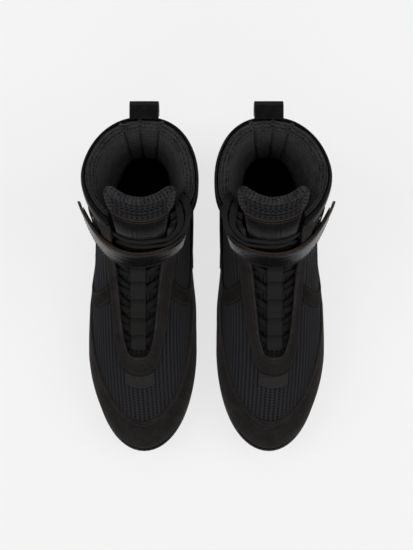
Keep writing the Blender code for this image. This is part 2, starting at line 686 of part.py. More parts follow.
def tongue_place(mm, q, offset):
    """Points over the tongue's top: mm across, q along its middle line, offset outwards."""
    mm, q, offset = np.broadcast_arrays(*(np.asarray(a, float) for a in (mm, q, offset)))
    y, z = column(TONGUE_LINE, q), column(TONGUE_LINE, q, 2)
    ahead = np.minimum(q + 0.02, TONGUE_LINE[-1][0])
    behind = ahead - 0.04
    dy = column(TONGUE_LINE, ahead) - column(TONGUE_LINE, behind)
    dz = column(TONGUE_LINE, ahead, 2) - column(TONGUE_LINE, behind, 2)
    size = np.hypot(dy, dz)
    out_y, out_z = -dz / size, dy / size
    angle = mm / TONGUE_TOP_RADIUS
    back = TONGUE_TOP_RADIUS * (1 - np.cos(angle))
    x = TONGUE_TOP_X + (TONGUE_TOP_RADIUS + offset) * np.sin(angle)
    out_y = out_y * np.cos(angle)
    return np.stack([x, y + back + out_y * offset, z + out_z * offset], -1)


def tongue_hinge():
    """Where the tongue's top bends, in boot mm."""
    first = TONGUE_LINE[0]
    return (TONGUE_TOP_X, first[1] + 3.0, first[2] - 0.8)


def tongue_top(boot):
    """The part of the tongue above the laces, ending in a soft roll."""
    q = np.array([0.05, 1, 2, 3, 3.9, 4.35, 4.7, 5])
    outer = np.interp(q, (0, 3.9, 4.3, 4.75, 5), (0, 0, 1.2, 1.0, -1.6))
    inner = np.interp(q, (0, 3.9, 4.3, 4.75, 5), (-5.2, -5.2, -6.4, -6.2, -3.6))
    share = np.linspace(-1, 1, 9)
    mm = column(TONGUE_TOP_HALF, q)[:, None] * share
    grid_q = np.tile(q[:, None], (1, len(share)))
    half = (outer - inner)[:, None] / 2 * (1 - 0.6 * np.abs(share) ** 6)
    middle = (outer + inner)[:, None] / 2
    top, under = middle + half, middle - half
    shape = sheet(tongue_place(mm, grid_q, top).reshape(-1, 3),
                  tongue_place(mm, grid_q, under).reshape(-1, 3), len(q), len(share))
    boot.add("tongue_top", shape, (0.026, 0.026, 0.03), 0.85, origin=tongue_hinge())


def tongue_patch(boot):
    """The leather patch sewn on the front of the tongue's top."""
    q = np.linspace(0.4, 2.95, 5)
    share = np.linspace(-1, 1, 9)
    mm = (column(TONGUE_TOP_HALF, q) - 2.2)[:, None] * share
    grid_q = np.tile(q[:, None], (1, len(share)))
    shape = sheet(tongue_place(mm, grid_q, 1.2).reshape(-1, 3),
                  tongue_place(mm, grid_q, 0.3).reshape(-1, 3), len(q), len(share))
    boot.add("tongue_patch", shape, LEATHER, 0.35, origin=tongue_hinge())


def ribbon(path, wide, width, thick):
    """A flat band along a path of points, with its own width direction at each point."""
    path = np.asarray(path, float)
    run = np.gradient(path, axis=0)
    run /= np.linalg.norm(run, axis=1, keepdims=True)
    wide = wide - run * (wide * run).sum(1, keepdims=True)
    wide /= np.linalg.norm(wide, axis=1, keepdims=True)
    flat = np.cross(run, wide)
    corners = []
    for a, b in ((-0.5, -0.5), (0.5, -0.5), (0.5, 0.5), (-0.5, 0.5)):
        corners.append(path + wide * width * a + flat * thick * b)
    return loft(np.stack(corners, 1))


def tongue_webbing(boot):
    """The tape up the tongue's middle, lifted into a loop over each lace crossing."""
    knots = []
    for k, v in enumerate(CROSSINGS[:-1]):
        before = CROSSINGS[k - 1] if k else v - 0.34
        after = CROSSINGS[k + 1]
        knots.append(((before + v) / 2, WEBBING_LOW))
        knots.append((v - 0.34 * (v - before), WEBBING_HIGH - 0.3))
        knots.append((v, WEBBING_HIGH))
        knots.append((v + 0.34 * (after - v), WEBBING_HIGH - 0.3))
    knots.append(((CROSSINGS[-2] + CROSSINGS[-1]) / 2, WEBBING_LOW))
    v = np.array([k[0] for k in knots])
    offset = np.array([k[1] for k in knots])
    path = place(0 * v, v, offset)
    wide = np.tile((1.0, 0, 0), (len(v), 1))
    boot.add("tongue_webbing", ribbon(path, wide, 13.8, 0.8), WEBBING, 0.8)


# ---- the lace ------------------------------------------------------------------------------


def across_slope(mm, v, side):
    """How a step up one ring moves a place: mm along its ring, and mm square to the ring."""
    here = place(from_front(side * mm, v), v, 0)
    up = (place(from_front(side * mm, v + 0.05), v + 0.05, 0) - here) / 0.05
    along = place(from_front(side * (mm + 0.5), v), v, 0) - here
    along /= np.linalg.norm(along)
    slant = float(up @ along)
    return slant, float(np.linalg.norm(up - slant * along))


def lace_arc(v, side, angles):
    """Places round the lace's turn under the throat's edge at ring v, square to the surface."""
    centre = float(column(THROAT, max(v, 6.3))) + LOOP_OUT_MM - TURN_RADIUS
    slant, rise = across_slope(centre, v, side)
    rows = []
    for degrees in angles:
        angle = math.radians(degrees)
        step = TURN_RADIUS * math.sin(angle) / rise
        across = centre + TURN_RADIUS * math.cos(angle) - step * slant
        rows.append((side * across, v + step, LACE_EDGE))
    return rows


def turn_rings():
    """Ring numbers of the lace's turns between the crossings."""
    return [(a + b) / 2 for a, b in zip(CROSSINGS, CROSSINGS[1:])]


def lace_climb(side, high_side):
    """One strand from the foot of the throat up, changing side at each crossing."""
    rows = []
    turns = turn_rings()
    for k, v in enumerate(CROSSINGS):
        height = LACE_HIGH if side == high_side else LACE_LOW
        slope = 0.0085
        rows.append((side * 9, v - 9 * slope, height))
        rows.append((0.0, v, height))
        rows.append((-side * 9, v + 9 * slope, height))
        side = -side
        if k < len(turns):
            rows += lace_arc(turns[k], side, (-74, -25, 25, 74))
    return rows, side


def lace(boot):
    """The whole lace as one flat band, tucked over the inner side of the collar at both ends."""
    climb_a, end_a = lace_climb(-1, 1)
    climb_b, _ = lace_climb(1, 1)
    ends = [[(mm, v, offset) for v, offset in LACE_OVER_RIM] for mm in LACE_END_MM]
    # climb_a starts on the inner side and ends on the side end_a; the other strand mirrors it.
    first, second = (climb_a, climb_b) if end_a > 0 else (climb_b, climb_a)
    start_side = np.sign(first[0][0])
    rows = ends[0][::-1] + list(LACE_OUTER_RISE[::-1]) + first[::-1] + foot_turn(start_side)[::-1]
    rows += foot_turn(-start_side) + second + list(LACE_INNER_RISE) + ends[1]
    rows = np.array(rows)
    mm, v, offset = rows.T
    u = from_front(mm, v)
    path = place(u, v, offset)
    out = place(u, v, offset + 1) - path
    run = np.gradient(path, axis=0)
    wide = np.cross(out, run)
    around = place(u + 0.002, v, offset) - path
    over_rim = np.clip((v - 13.6) / 0.3, 0, 1)
    over_rim = np.where(offset < -10.5, 1, over_rim)[:, None]
    wide /= np.linalg.norm(wide, axis=1, keepdims=True)
    around /= np.linalg.norm(around, axis=1, keepdims=True)
    around *= np.sign((around * wide).sum(1, keepdims=True) + 1e-9)
    wide = wide * (1 - over_rim) + around * over_rim
    for k in range(1, len(wide)):
        if wide[k] @ wide[k - 1] < 0:
            wide[k] *= -1
    boot.add("lace", ribbon(path, wide, LACE_WIDTH, LACE_THICK), (0.035, 0.032, 0.031), 0.85)


def foot_turn(side):
    """The lace from the middle of its lowest bar to the first crossing, on one side."""
    v = CROSSINGS[0] - 0.26
    rows = [(side * 2, v - 0.16, -3.6), (side * 7, v - 0.16, -3.5)]
    return rows + lace_arc(v, side, (-66, -20, 25, 74))


def lace_loops(boot, part, side):
    """A tape under the throat's edge with a small loop round each of the lace's turns."""
    v = np.linspace(5.98, 10.0, 8)
    edge = column(THROAT, np.maximum(v, 6.3))
    mm = edge[:, None] + np.array((7.9, 9.1))
    grid_v = np.tile(v[:, None], (1, 2))
    tape = panel(from_front(side * mm, grid_v), grid_v, -2.65, -2.0)
    strip = boot.add(part, tape, WEBBING, 0.8)
    points, faces = [], []
    for turn in [CROSSINGS[0] - 0.26, *turn_rings()]:
        edge = float(column(THROAT, max(turn, 6.3)))
        slant, rise = across_slope(edge, turn, side)
        half = 0.6 / rise
        corners = []
        for past, offset in ((0.2, -2.05), (8.6, -2.05), (8.6, -5.1), (0.2, -5.1)):
            corners.append((edge + past, offset))
        holes = []
        for past, offset in ((0.85, -2.5), (8.0, -2.5), (8.0, -4.65), (0.85, -4.65)):
            holes.append((edge + past, offset))
        start = len(points)
        for v_end in (turn - half, turn + half):
            for across, offset in corners + holes:
                mm = side * (across - (v_end - turn) * slant)
                points.append(place(from_front(mm, v_end), v_end, offset))
        for k in range(4):
            n = (k + 1) % 4
            faces.append((start + k, start + n, start + 8 + n, start + 8 + k))
            faces.append((start + 4 + n, start + 4 + k, start + 12 + k, start + 12 + n))
            faces.append((start + k, start + 4 + k, start + 4 + n, start + n))
            faces.append((start + 8 + k, start + 8 + n, start + 12 + n, start + 12 + k))
    rings = boot.add(f"{part}_rings", (np.array(points), faces), WEBBING, 0.8)
    rings.hide_render = True
    rings.display_type = "WIRE"
    join = strip.modifiers.new("rings", "BOOLEAN")
    join.operation = "UNION"
    join.object = rings


# ---- strap, pads and pull tab --------------------------------------------------------------


def strap_offset(mm):
    """Height of the strap's inner face over the upper: more where the pads lie under it."""
    return smooth(mm, (-45, -30, 30, 44, 54, 68), (1.8, 2.6, 2.8, 3.2, 4.4, 8.4))


def strap_grid(start, end, columns, rows, inset=0.0):
    """Columns along the strap and rows across it, narrowing to the pointed end."""
    mm = np.linspace(start, end, columns)
    middle = sum(STRAP_RINGS) / 2
    half = (STRAP_RINGS[1] - STRAP_RINGS[0]) / 2 - inset
    point = np.clip((STRAP_TIP_MM - mm) / STRAP_POINT_MM, 0, 1)
    narrow = 0.12 + 0.88 * np.sqrt(1 - (1 - point) ** 2)
    share = np.linspace(-1, 1, rows)[:, None]
    v = middle + share * half * narrow
    grid_mm = np.tile(mm, (rows, 1))
    return grid_mm, v


def strap(boot):
    """The ankle strap, from its sewn end on the inner side to its pointed end."""
    mm, v = strap_grid(-STRAP_ROOT_MM, STRAP_TIP_MM, 23, 4)
    base = strap_offset(mm)
    shape = panel(from_front(mm, v), v, base, base + STRAP_THICK)
    boot.add("strap", shape, GLOSS, 0.25, origin=strap_hinge())


def strap_hinge():
    """The strap's turning point, in boot mm."""
    v = sum(STRAP_RINGS) / 2
    return tuple(place(from_front(-STRAP_ROOT_MM, v), v, strap_offset(-STRAP_ROOT_MM) + 1))


def strap_pads(boot):
    """The two halves of the strap's fastening: hooks on the strap, loops on the boot."""
    mm, v = strap_grid(STRAP_TIP_MM - 6 - PAD_LENGTH, STRAP_TIP_MM - 7, 9, 3, 0.18)
    u = from_front(mm, v)
    under_strap = strap_offset(mm) - 0.3
    hooks = panel(u, v, under_strap - HOOK_THICK, under_strap)
    boot.add("hook_pad", hooks, PAD, 0.95, origin=strap_hinge())
    boot.add("loop_pad", panel(u, v, 0.3, 1.6), PAD, 0.95)


def tab_hinge():
    """The pull tab's sewn edge, in boot mm."""
    return (50.2, 143.4, 177.6)


def pull_tab(boot):
    """A folded leather loop standing back from the collar: an open loop with a round fold."""
    hinge = tab_hinge()
    base_y, base_z = hinge[1] + 0.4, hinge[2] + 0.1
    outer = [(base_y + y, base_z + z) for y, z in TAB_OUTLINE]
    inner = []
    centre = np.mean(outer, axis=0)
    for y, z in outer:
        away = np.array((y, z)) - centre
        size = np.linalg.norm(away)
        inner.append(tuple(centre + away * (size - TAB_THICK) / size))
    xs = (hinge[0] - TAB_HALF_WIDTH, hinge[0], hinge[0] + TAB_HALF_WIDTH)
    count = len(outer)
    rings = []
    for x, ring in ((xs[0], outer), (xs[2], outer), (xs[2], inner), (xs[0], inner)):
        rings.append([(x, y, z) for y, z in ring])
    points = np.array(rings).reshape(-1, 3)
    faces = grid_faces(4, count, closed_rows=True, closed_columns=True)
    boot.add("pull_tab", (points, faces), GLOSS, 0.22, origin=hinge)


# ---- both boots ----------------------------------------------------------------------------


def build(name, side):
    """Makes every sub-part of one boot."""
    boot = Boot(name, side)
    outsole(boot)
    plate(boot, "midsole", -1.0, MIDSOLE, 0.1, (0.55, 0.53, 0.5), 0.8)
    plate(boot, "insole_board", 6.9, BOARD, 0.9, (0.35, 0.28, 0.2), 0.8)
    plate(boot, "footbed", 7.2, FOOTBED, 1.1, (0.04, 0.04, 0.045), 0.85)
    columns = front_columns(SEAM_U)
    v = vamp_rows(columns, 5)
    boot.add("vamp_mesh", panel(np.tile(columns, (len(v), 1)), v, -MESH_THICK, 0.0), MESH, 0.75)
    columns = columns[::2]
    v = vamp_rows(columns, 4, 1, 5.6)
    boot.add("vamp_lining", panel(np.tile(columns, (len(v), 1)), v, *VAMP_LINER), (0.03, 0.03, 0.032), 0.9)
    quarter(boot, "quarter_lateral", 1)
    quarter(boot, "quarter_medial", -1)
    collar_lining(boot)
    toe_puff(boot)
    heel_counter(boot)
    toe_guard(boot)
    heel_cover(boot)
    eyestay(boot)
    side_band(boot, "side_band_lateral", 1)
    side_band(boot, "side_band_medial", -1)
    vamp_tab(boot)
    collar_binding(boot)
    back_strip(boot)
    tongue(boot)
    tongue_top(boot)
    tongue_patch(boot)
    tongue_webbing(boot)
    lace(boot)
    lace_loops(boot, "lace_loops_lateral", 1)
    lace_loops(boot, "lace_loops_medial", -1)
    strap(boot)
    strap_pads(boot)
    pull_tab(boot)


build("left", 1)
build("right", -1)
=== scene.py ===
"""Looks for a pair of boxing boots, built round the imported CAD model.

Tables are in millimetres in one boot's own frame: the left boot as it stands, the right boot
mirrored. A place on a boot is (u, v, offset) as in the part's source: u goes round ring v from
the front line (0) to the back line (1 outer side, -1 inner side), and offset is outwards.
"""

import math

import bpy
import numpy as np
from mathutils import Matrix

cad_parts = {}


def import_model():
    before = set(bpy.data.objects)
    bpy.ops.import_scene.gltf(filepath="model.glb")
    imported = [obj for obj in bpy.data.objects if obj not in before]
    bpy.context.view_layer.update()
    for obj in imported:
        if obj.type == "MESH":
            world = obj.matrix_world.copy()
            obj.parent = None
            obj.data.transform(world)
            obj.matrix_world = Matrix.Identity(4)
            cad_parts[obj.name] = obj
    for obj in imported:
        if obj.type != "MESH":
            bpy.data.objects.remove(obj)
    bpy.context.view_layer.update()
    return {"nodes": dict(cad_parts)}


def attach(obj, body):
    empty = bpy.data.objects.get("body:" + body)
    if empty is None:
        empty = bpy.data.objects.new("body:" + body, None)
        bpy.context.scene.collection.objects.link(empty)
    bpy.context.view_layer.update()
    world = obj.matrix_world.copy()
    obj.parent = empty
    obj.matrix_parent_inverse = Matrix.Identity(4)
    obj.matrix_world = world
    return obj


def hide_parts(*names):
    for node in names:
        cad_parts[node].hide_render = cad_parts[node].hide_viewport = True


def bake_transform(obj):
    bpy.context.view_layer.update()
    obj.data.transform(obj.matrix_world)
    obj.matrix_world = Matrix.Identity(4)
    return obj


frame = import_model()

MM = 0.001
UV_MM = 100.0  # mm for each unit of the flat coordinates

# ---- the boot's outside ----------------------------------------------------------------------

# The front line and the back line: ring number, y, z, and x of the front line's middle.
FRONT_LINE = (
    (0, -149, 7.1, 59.8), (1, -151.3, 12, 59.8), (2, -150.3, 22, 59.8), (3, -143.7, 32.5, 59.8),
    (4, -123.4, 43, 60.2), (5, -92, 52, 62), (6, -64, 60, 62.8), (7, -35, 71, 62.6),
    (8, -7, 85, 61.8), (9, 13, 102, 60.8), (10, 24.5, 120, 60), (11, 31, 138, 58.5),
    (12, 36.5, 152, 57.5), (13, 43, 163.5, 56.5), (14, 50, 171.5, 56), (15, 58, 179, 55.5),
)
BACK_LINE = (
    (0, 134, 7.1, 55), (1, 137.5, 13, 55), (2, 139, 24, 55), (3, 139.6, 36, 54.8),
    (4, 139.4, 48, 54.5), (5, 138.4, 60, 54.2), (6, 136.6, 73, 53.8), (7, 134.6, 87, 53.4),
    (8, 133, 101, 53), (9, 132.4, 115, 52.6), (10, 132.8, 129, 52.2), (11, 134.2, 144, 51.8),
    (12, 136.4, 159, 51.4), (13, 138.8, 173, 51.1), (14, 140.6, 184, 51), (15, 141.6, 194, 51),
)
LAST_RING = 15
# Length of a ring's rounded ends: ring number, front on the outer side, on the inner side, back.
END_LENGTHS = (
    (0, 94, 94, 42), (4, 92, 92, 44), (6, 88, 86, 46), (8, 70, 62, 48), (10, 54, 42, 50),
    (12, 56, 34, 54), (14, 52, 32, 59), (15, 54, 32, 60),
)
FRONT_POWER = 2.0
BACK_POWER = 2.3
# Half the width between the side walls, by height (rows) and by y (columns).
WIDTH_Y = (-150, -110, -60, -20, 20, 60, 100, 140)
WIDTH_Z = (5, 25, 45, 70, 100, 130, 160, 186)
WIDTH = (
    (45, 45, 46, 44.5, 39, 35.5, 34.5, 34),
    (49.6, 49.3, 49.9, 49.2, 44.5, 41, 38.5, 37.5),
    (45.5, 45.5, 46, 46, 43.6, 42, 39.5, 38),
    (43, 43.5, 44, 44, 43.2, 42, 39, 37),
    (42, 42.5, 43, 43, 42.8, 42, 39, 36.5),
    (43, 43, 43, 43, 43.5, 43.5, 42, 39),
    (44, 44, 44, 44, 45, 46, 45.5, 43),
    (47, 47, 47, 47, 48, 48.6, 48.4, 47),
)
# The middle between the side walls, by y.
MIDDLE_Y = (-150, -110, -50, 0, 40, 90, 118, 140)
MIDDLE_X = (59.8, 60.2, 60.9, 60.3, 58.2, 55.2, 53.4, 51)
TOE_SPRING_FROM = -92
TOE_SPRING_LENGTH = 63
TOE_SPRING_RISE = 7
SPRING_FADES_AT_RING = 5

# Half the throat's width, measured along the surface, by ring number.
THROAT = (
    (6, 0), (6.12, 9), (6.3, 13.5), (6.6, 16.5), (7, 18.1), (8, 20.9), (9, 22.8), (10, 24.2),
    (11, 25.2), (12, 25.6), (13, 26.2), (14, 27), (15, 27.4),
)
THROAT_FOOT = 7.2
SEAM_U = 0.54
SEAM = (
    (0, 5.75), (0.06, 5.82), (0.1, 6.2), (0.128, 7.2), (0.2, 7.0), (0.36, 5.6), (0.5, 4.4),
    (0.54, 4.15),
)
GUARD_TOP = ((0, 4.0), (0.12, 4.06), (0.3, 4.16), (0.45, 4.05), (0.6, 3.98))
HEEL_TOP = ((0.54, 3.98), (0.66, 4.2), (0.74, 4.9), (0.82, 7.0), (0.9, 8.6), (1, 9.2))

RING_STEPS = 24  # rows of the surface table for each ring number
SIDE_STEPS = 400  # columns of the table for each side


def smooth(x, xs, ys):
    """A smooth curve through the points (xs, ys), flat where they turn back."""
    xs = np.asarray(xs, float)
    ys = np.asarray(ys, float)
    x = np.clip(np.asarray(x, float), xs[0], xs[-1])
    step = np.diff(xs)
    slope = np.diff(ys) / step
    tangent = np.zeros(len(xs))
    tangent[0], tangent[-1] = slope[0], slope[-1]
    same = slope[1:] * slope[:-1] > 0
    mean = 2 * slope[1:] * slope[:-1] / np.where(same, slope[1:] + slope[:-1], 1)
    tangent[1:-1] = np.where(same, mean, 0)
    i = np.clip(np.searchsorted(xs, x, side="right") - 1, 0, len(step) - 1)
    t = (x - xs[i]) / step[i]
    return (
        (2 * t**3 - 3 * t**2 + 1) * ys[i]
        + (t**3 - 2 * t**2 + t) * step[i] * tangent[i]
        + (3 * t**2 - 2 * t**3) * ys[i + 1]
        + (t**3 - t**2) * step[i] * tangent[i + 1]
    )


def unit(vectors):
    """The same directions, each of length 1."""
    return vectors / np.linalg.norm(vectors, axis=-1, keepdims=True)


def path_run(points):
    """Distance along a line of points, from its start."""
    return np.concatenate([[0], np.cumsum(np.linalg.norm(np.diff(points, axis=0), axis=1))])


def column(table, x, k=1):
    """Column k of a table of rows, read smoothly at x in its first column."""
    return smooth(x, [row[0] for row in table], [row[k] for row in table])


def spring(y):
    """How far the toe lifts the sole at y."""
    past = np.clip((TOE_SPRING_FROM - np.asarray(y, float)) / TOE_SPRING_LENGTH, 0, 1.2)
    return TOE_SPRING_RISE * past**2


def half_width(y, z):
    """Half the distance between the boot's side walls."""
    rows = np.array([smooth(y, WIDTH_Y, row) for row in WIDTH])
    z = np.clip(z, WIDTH_Z[0], WIDTH_Z[-1])
    i = np.clip(np.searchsorted(WIDTH_Z, z, side="right") - 1, 0, len(WIDTH_Z) - 2)
    low = np.array(WIDTH_Z)[i]
    t = (z - low) / (np.array(WIDTH_Z)[i + 1] - low)
    t = t * t * (3 - 2 * t) * 0.5 + t * 0.5
    k = np.arange(len(z))
    return rows[i, k] * (1 - t) + rows[i + 1, k] * t


def end_factor(distance, length, power):
    """1 along the side walls, falling round to 0 at the end of a ring."""
    t = np.clip(distance / length, 0, 1)
    return (1 - (1 - t) ** power) ** (1 / power)


def half_ring(v, side):
    """Points along ring v from the front line to the back line, evenly spaced, and their length."""
    t = (1 - np.cos(np.linspace(0, math.pi, 801))) / 2
    front = [float(column(FRONT_LINE, v, k)) for k in (1, 2, 3)]
    back = [float(column(BACK_LINE, v, k)) for k in (1, 2, 3)]
    y = front[0] + t * (back[0] - front[0])
    z = front[1] + t * (back[1] - front[1])
    line_x = front[2] + t * (back[2] - front[2])
    length = back[0] - front[0]
    front_length = float(column(END_LENGTHS, v, 1 if side > 0 else 2))
    round_front = end_factor(t * length, front_length, FRONT_POWER)
    round_back = end_factor((1 - t) * length, float(column(END_LENGTHS, v, 3)), BACK_POWER)
    wall_x = smooth(y, MIDDLE_Y, MIDDLE_X) + side * half_width(y, z)
    x = line_x + (wall_x - line_x) * round_front * round_back
    z = z + spring(y) * max(0.0, 1 - v / SPRING_FADES_AT_RING)
    points = np.stack([x, y, z], 1)
    run = path_run(points)
    even = np.linspace(0, run[-1], SIDE_STEPS + 1)
    return np.stack([np.interp(even, run, points[:, k]) for k in range(3)], 1), run[-1]


def surface_table():
    """The boot's outside as a grid of points and normals, each half ring's length, and the
    distance up each column from the ground."""
    rings = np.linspace(0, LAST_RING, LAST_RING * RING_STEPS + 1)
    points, girths = [], []
    for v in rings:
        outer, outer_run = half_ring(v, 1)
        inner, inner_run = half_ring(v, -1)
        points.append(np.concatenate([inner[::-1], outer[1:]]))
        girths.append((outer_run, inner_run))
    points = np.array(points)
    along = np.empty_like(points)
    along[:, 1:-1] = points[:, 2:] - points[:, :-2]
    along[:, 0] = along[:, -1] = points[:, 1] - points[:, -2]
    normal = unit(np.cross(along, np.gradient(points, axis=0)))
    steps = np.linalg.norm(np.diff(points, axis=0), axis=2)
    rise = np.concatenate([np.zeros((1, steps.shape[1])), np.cumsum(steps, axis=0)])
    return points, normal, np.array(girths), rise[..., None]


POINTS, NORMALS, GIRTHS, RISE = surface_table()


def girth(v, side):
    """Length of half a ring, in mm."""
    rings = np.linspace(0, LAST_RING, len(GIRTHS))
    return np.interp(v, rings, GIRTHS[:, 0 if side > 0 else 1])


def read(grid, u, v):
    """A table's values at arrays of u and v."""
    across = ((u + 1) % 2) * SIDE_STEPS
    up = np.clip(v, 0, LAST_RING) * RING_STEPS
    i = np.minimum(across.astype(int), 2 * SIDE_STEPS - 1)
    j = np.minimum(up.astype(int), LAST_RING * RING_STEPS - 1)
    s, t = (across - i)[..., None], (up - j)[..., None]
    low = grid[j, i] * (1 - s) + grid[j, i + 1] * s
    high = grid[j + 1, i] * (1 - s) + grid[j + 1, i + 1] * s
    return low * (1 - t) + high * t


def place(u, v, offset):
    """Points in mm for arrays of u, v and offset. u past 1 or -1 carries on round the back."""
    u, v, offset = np.broadcast_arrays(*(np.asarray(a, float) for a in (u, v, offset)))
    return read(POINTS, u, v) + unit(read(NORMALS, u, v)) * offset[..., None]


def rise(u, v):
    """Distance up the surface from the ground at a place, in mm."""
    u, v = np.broadcast_arrays(np.asarray(u, float), np.asarray(v, float))
    return read(RISE, u, v)[..., 0]


def from_front(mm, v):
    """u of a place mm along the surface from the front line; the inner side is negative."""
    mm, v = np.broadcast_arrays(np.asarray(mm, float), np.asarray(v, float))
    return np.where(mm >= 0, mm / girth(v, 1), mm / girth(v, -1))


def to_front(u, v):
    """mm along the surface from the front line at u."""
    return np.where(u >= 0, u * girth(v, 1), u * girth(v, -1))


def from_back(mm, v):
    """u of a place mm from the back line; the inner side is negative and gives u over 1."""
    mm, v = np.broadcast_arrays(np.asarray(mm, float), np.asarray(v, float))
    return np.where(mm >= 0, 1 - mm / girth(v, 1), 1 - mm / girth(v, -1))


# ---- meshes ----------------------------------------------------------------------------------


def grid_quads(rows, columns, wrap=False, caps=False):
    """Corner numbers of a grid's quads; wrap joins its columns, caps fill across its end rows."""
    across = np.arange(columns if wrap else columns - 1)
    r, c = (axis.ravel() for axis in np.meshgrid(np.arange(rows - 1), across, indexing="ij"))
    n = (c + 1) % columns
    here, above = r * columns, (r + 1) * columns
    quads = [np.stack([here + c, here + n, above + n, above + c], 1)]
    if caps:
        k = np.arange(columns // 2 - 1)
        cap = np.stack([k, columns - 1 - k, columns - 2 - k, k + 1], 1)
        quads.append(cap)
        quads.append(cap[:, ::-1] + (rows - 1) * columns)
    return np.concatenate(quads)


def volume(points, quads):
    """Six times the signed volume inside the quads."""
    a, b, c, d = (points[quads[:, k]] for k in range(4))
    return float((np.cross(a, b) * c).sum() + (np.cross(a, c) * d).sum())


def running(points, axis):
    """Distance along a grid's rows (axis 0) or columns (axis 1), from the start."""
    step = np.linalg.norm(np.diff(points, axis=axis), axis=2)
    first = np.zeros_like(np.take(step, [0], axis=axis))
    return np.concatenate([first, np.cumsum(step, axis=axis)], axis=axis)


class Shape:
    """Closed grids gathered into one mesh, with flat coordinates in mm and an edge value."""

    def __init__(self):
        self.points, self.quads, self.flat, self.edge = [], [], [], []
        self.count = 0

    def add(self, points, flat, edge=0.0, caps=True):
        """A grid of points (rows, columns, 3) whose columns join up; capped, it is a closed body."""
        rows, columns = points.shape[:2]
        quads = grid_quads(rows, columns, True, caps)
        points = points.reshape(-1, 3)
        if volume(points - points.mean(0), quads) < 0:
            quads = quads[:, ::-1]
        self.points.append(points)
        self.quads.append(quads + self.count)
        self.flat.append(np.broadcast_to(flat, (rows, columns, 2)).reshape(-1, 2))
        self.edge.append(np.broadcast_to(edge, (rows, columns)).reshape(-1))
        self.count += len(points)

    def sheet(self, top, under, flat, edge=0.0):
        """A closed sheet between two grids of points; edge is the value over the top."""
        edge = np.broadcast_to(edge, top.shape[:2])
        rim = np.zeros(edge.shape)
        rim[0], rim[-1], rim[:, 0], rim[:, -1] = 1, 1, 1, 1
        around = np.concatenate([top, under[:, ::-1]], 1)
        flats = np.concatenate([flat, flat[:, ::-1]], 1)
        self.add(around, flats, np.concatenate([edge, rim[:, ::-1]], 1))

    def build(self, boot, part, paint, body="boot", replaces=()):
        """The object for this shape, mirrored for the right boot and riding on its body."""
        points = np.concatenate(self.points) * (boot.side * MM, MM, MM)
        quads = np.concatenate(self.quads)
        if boot.side < 0:
            quads = quads[:, ::-1]
        name = f"{boot.name}_{part}_look"
        mesh = bpy.data.meshes.new(name)
        mesh.vertices.add(len(points))
        mesh.vertices.foreach_set("co", points.ravel())
        mesh.loops.add(quads.size)
        mesh.loops.foreach_set("vertex_index", quads.ravel())
        mesh.polygons.add(len(quads))
        mesh.polygons.foreach_set("loop_start", np.arange(0, quads.size, 4))
        mesh.polygons.foreach_set("use_smooth", np.ones(len(quads), bool))
        mesh.update(calc_edges=True)
        layer = mesh.uv_layers.new(name="flat")
        flat = np.concatenate(self.flat)[quads.ravel()] / UV_MM
        layer.data.foreach_set("uv", flat.ravel())
        edge = mesh.attributes.new("edge", "FLOAT", "POINT")
        edge.data.foreach_set("value", np.concatenate(self.edge).astype(np.float32))
        mesh.materials.append(paint)
        thing = bpy.data.objects.new(name, mesh)
        bpy.context.scene.collection.objects.link(thing)
        if body:
            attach(thing, f"{boot.name}_{body}")
        if replaces:
            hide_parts(*(f"{boot.name}_{node}" for node in replaces))
        return thing


def shares(length, step, rim=(0.0, 0.12, 0.35, 0.75, 1.3)):
    """Shares 0..1 along a length in mm, closer together near both ends."""
    ends = [r for r in rim if r < length / 2.2]
    count = max(2, int(round((length - 2 * ends[-1]) / step)) + 1)
    middle = np.linspace(ends[-1], length - ends[-1], count)
    places = np.concatenate([ends[:-1], middle, length - np.array(ends[:-1])[::-1]])
    return places / length


def rope_line(keys, per_span):
    """A smooth curve through rows of numbers, with a number of steps for each span."""
    keys = np.asarray(keys, float)
    padded = np.concatenate([[2 * keys[0] - keys[1]], keys, [2 * keys[-1] - keys[-2]]])
    rows = []
    t = np.linspace(0, 1, per_span, endpoint=False)[:, None]
    for a, b, c, d in zip(padded, padded[1:], padded[2:], padded[3:]):
        rows.append(0.5 * (2 * b + (c - a) * t + (2 * a - 5 * b + 4 * c - d) * t**2
                           + (3 * b - a - 3 * c + d) * t**3))
    return np.concatenate([*rows, keys[-1:]])


def edge_distance(points):
    """Each grid point's distance to the grid's nearest edge, in mm."""
    down, across = running(points, 0), running(points, 1)
    return np.minimum(np.minimum(down, down[-1:] - down), np.minimum(across, across[:, -1:] - across))


NOISE_WAVES = ((1.0, 0.31, 0.3), (-0.47, 0.94, 1.7), (0.71, -0.77, 3.9), (0.13, 1.21, 5.1))


def noise(x, y, seed=1.0):
    """A soft repeatable wander between -1 and 1, for x and y in units of about one bump."""
    total = 0
    for k, (a, b, c) in enumerate(NOISE_WAVES):
        total = total + np.sin(x * a * 2.1 + y * b * 2.1 + c * seed + k)
    return total / 4


def rounded(away, depth, reach):
    """Fall of a rounded edge: its depth at the edge itself, nothing beyond its reach."""
    return depth * (1 - np.sqrt(1 - np.clip(1 - away / reach, 0, 1) ** 2))


def pressed(away, depth, at, width):
    """Fall of a soft line pressed in along an edge."""
    return depth * np.exp(-(((away - at) / width) ** 2))


def raw_edge(away, reach):
    """1 at a sheet's cut edge, falling to 0 at its reach."""
    return np.clip(1 - away / reach, 0, 1)


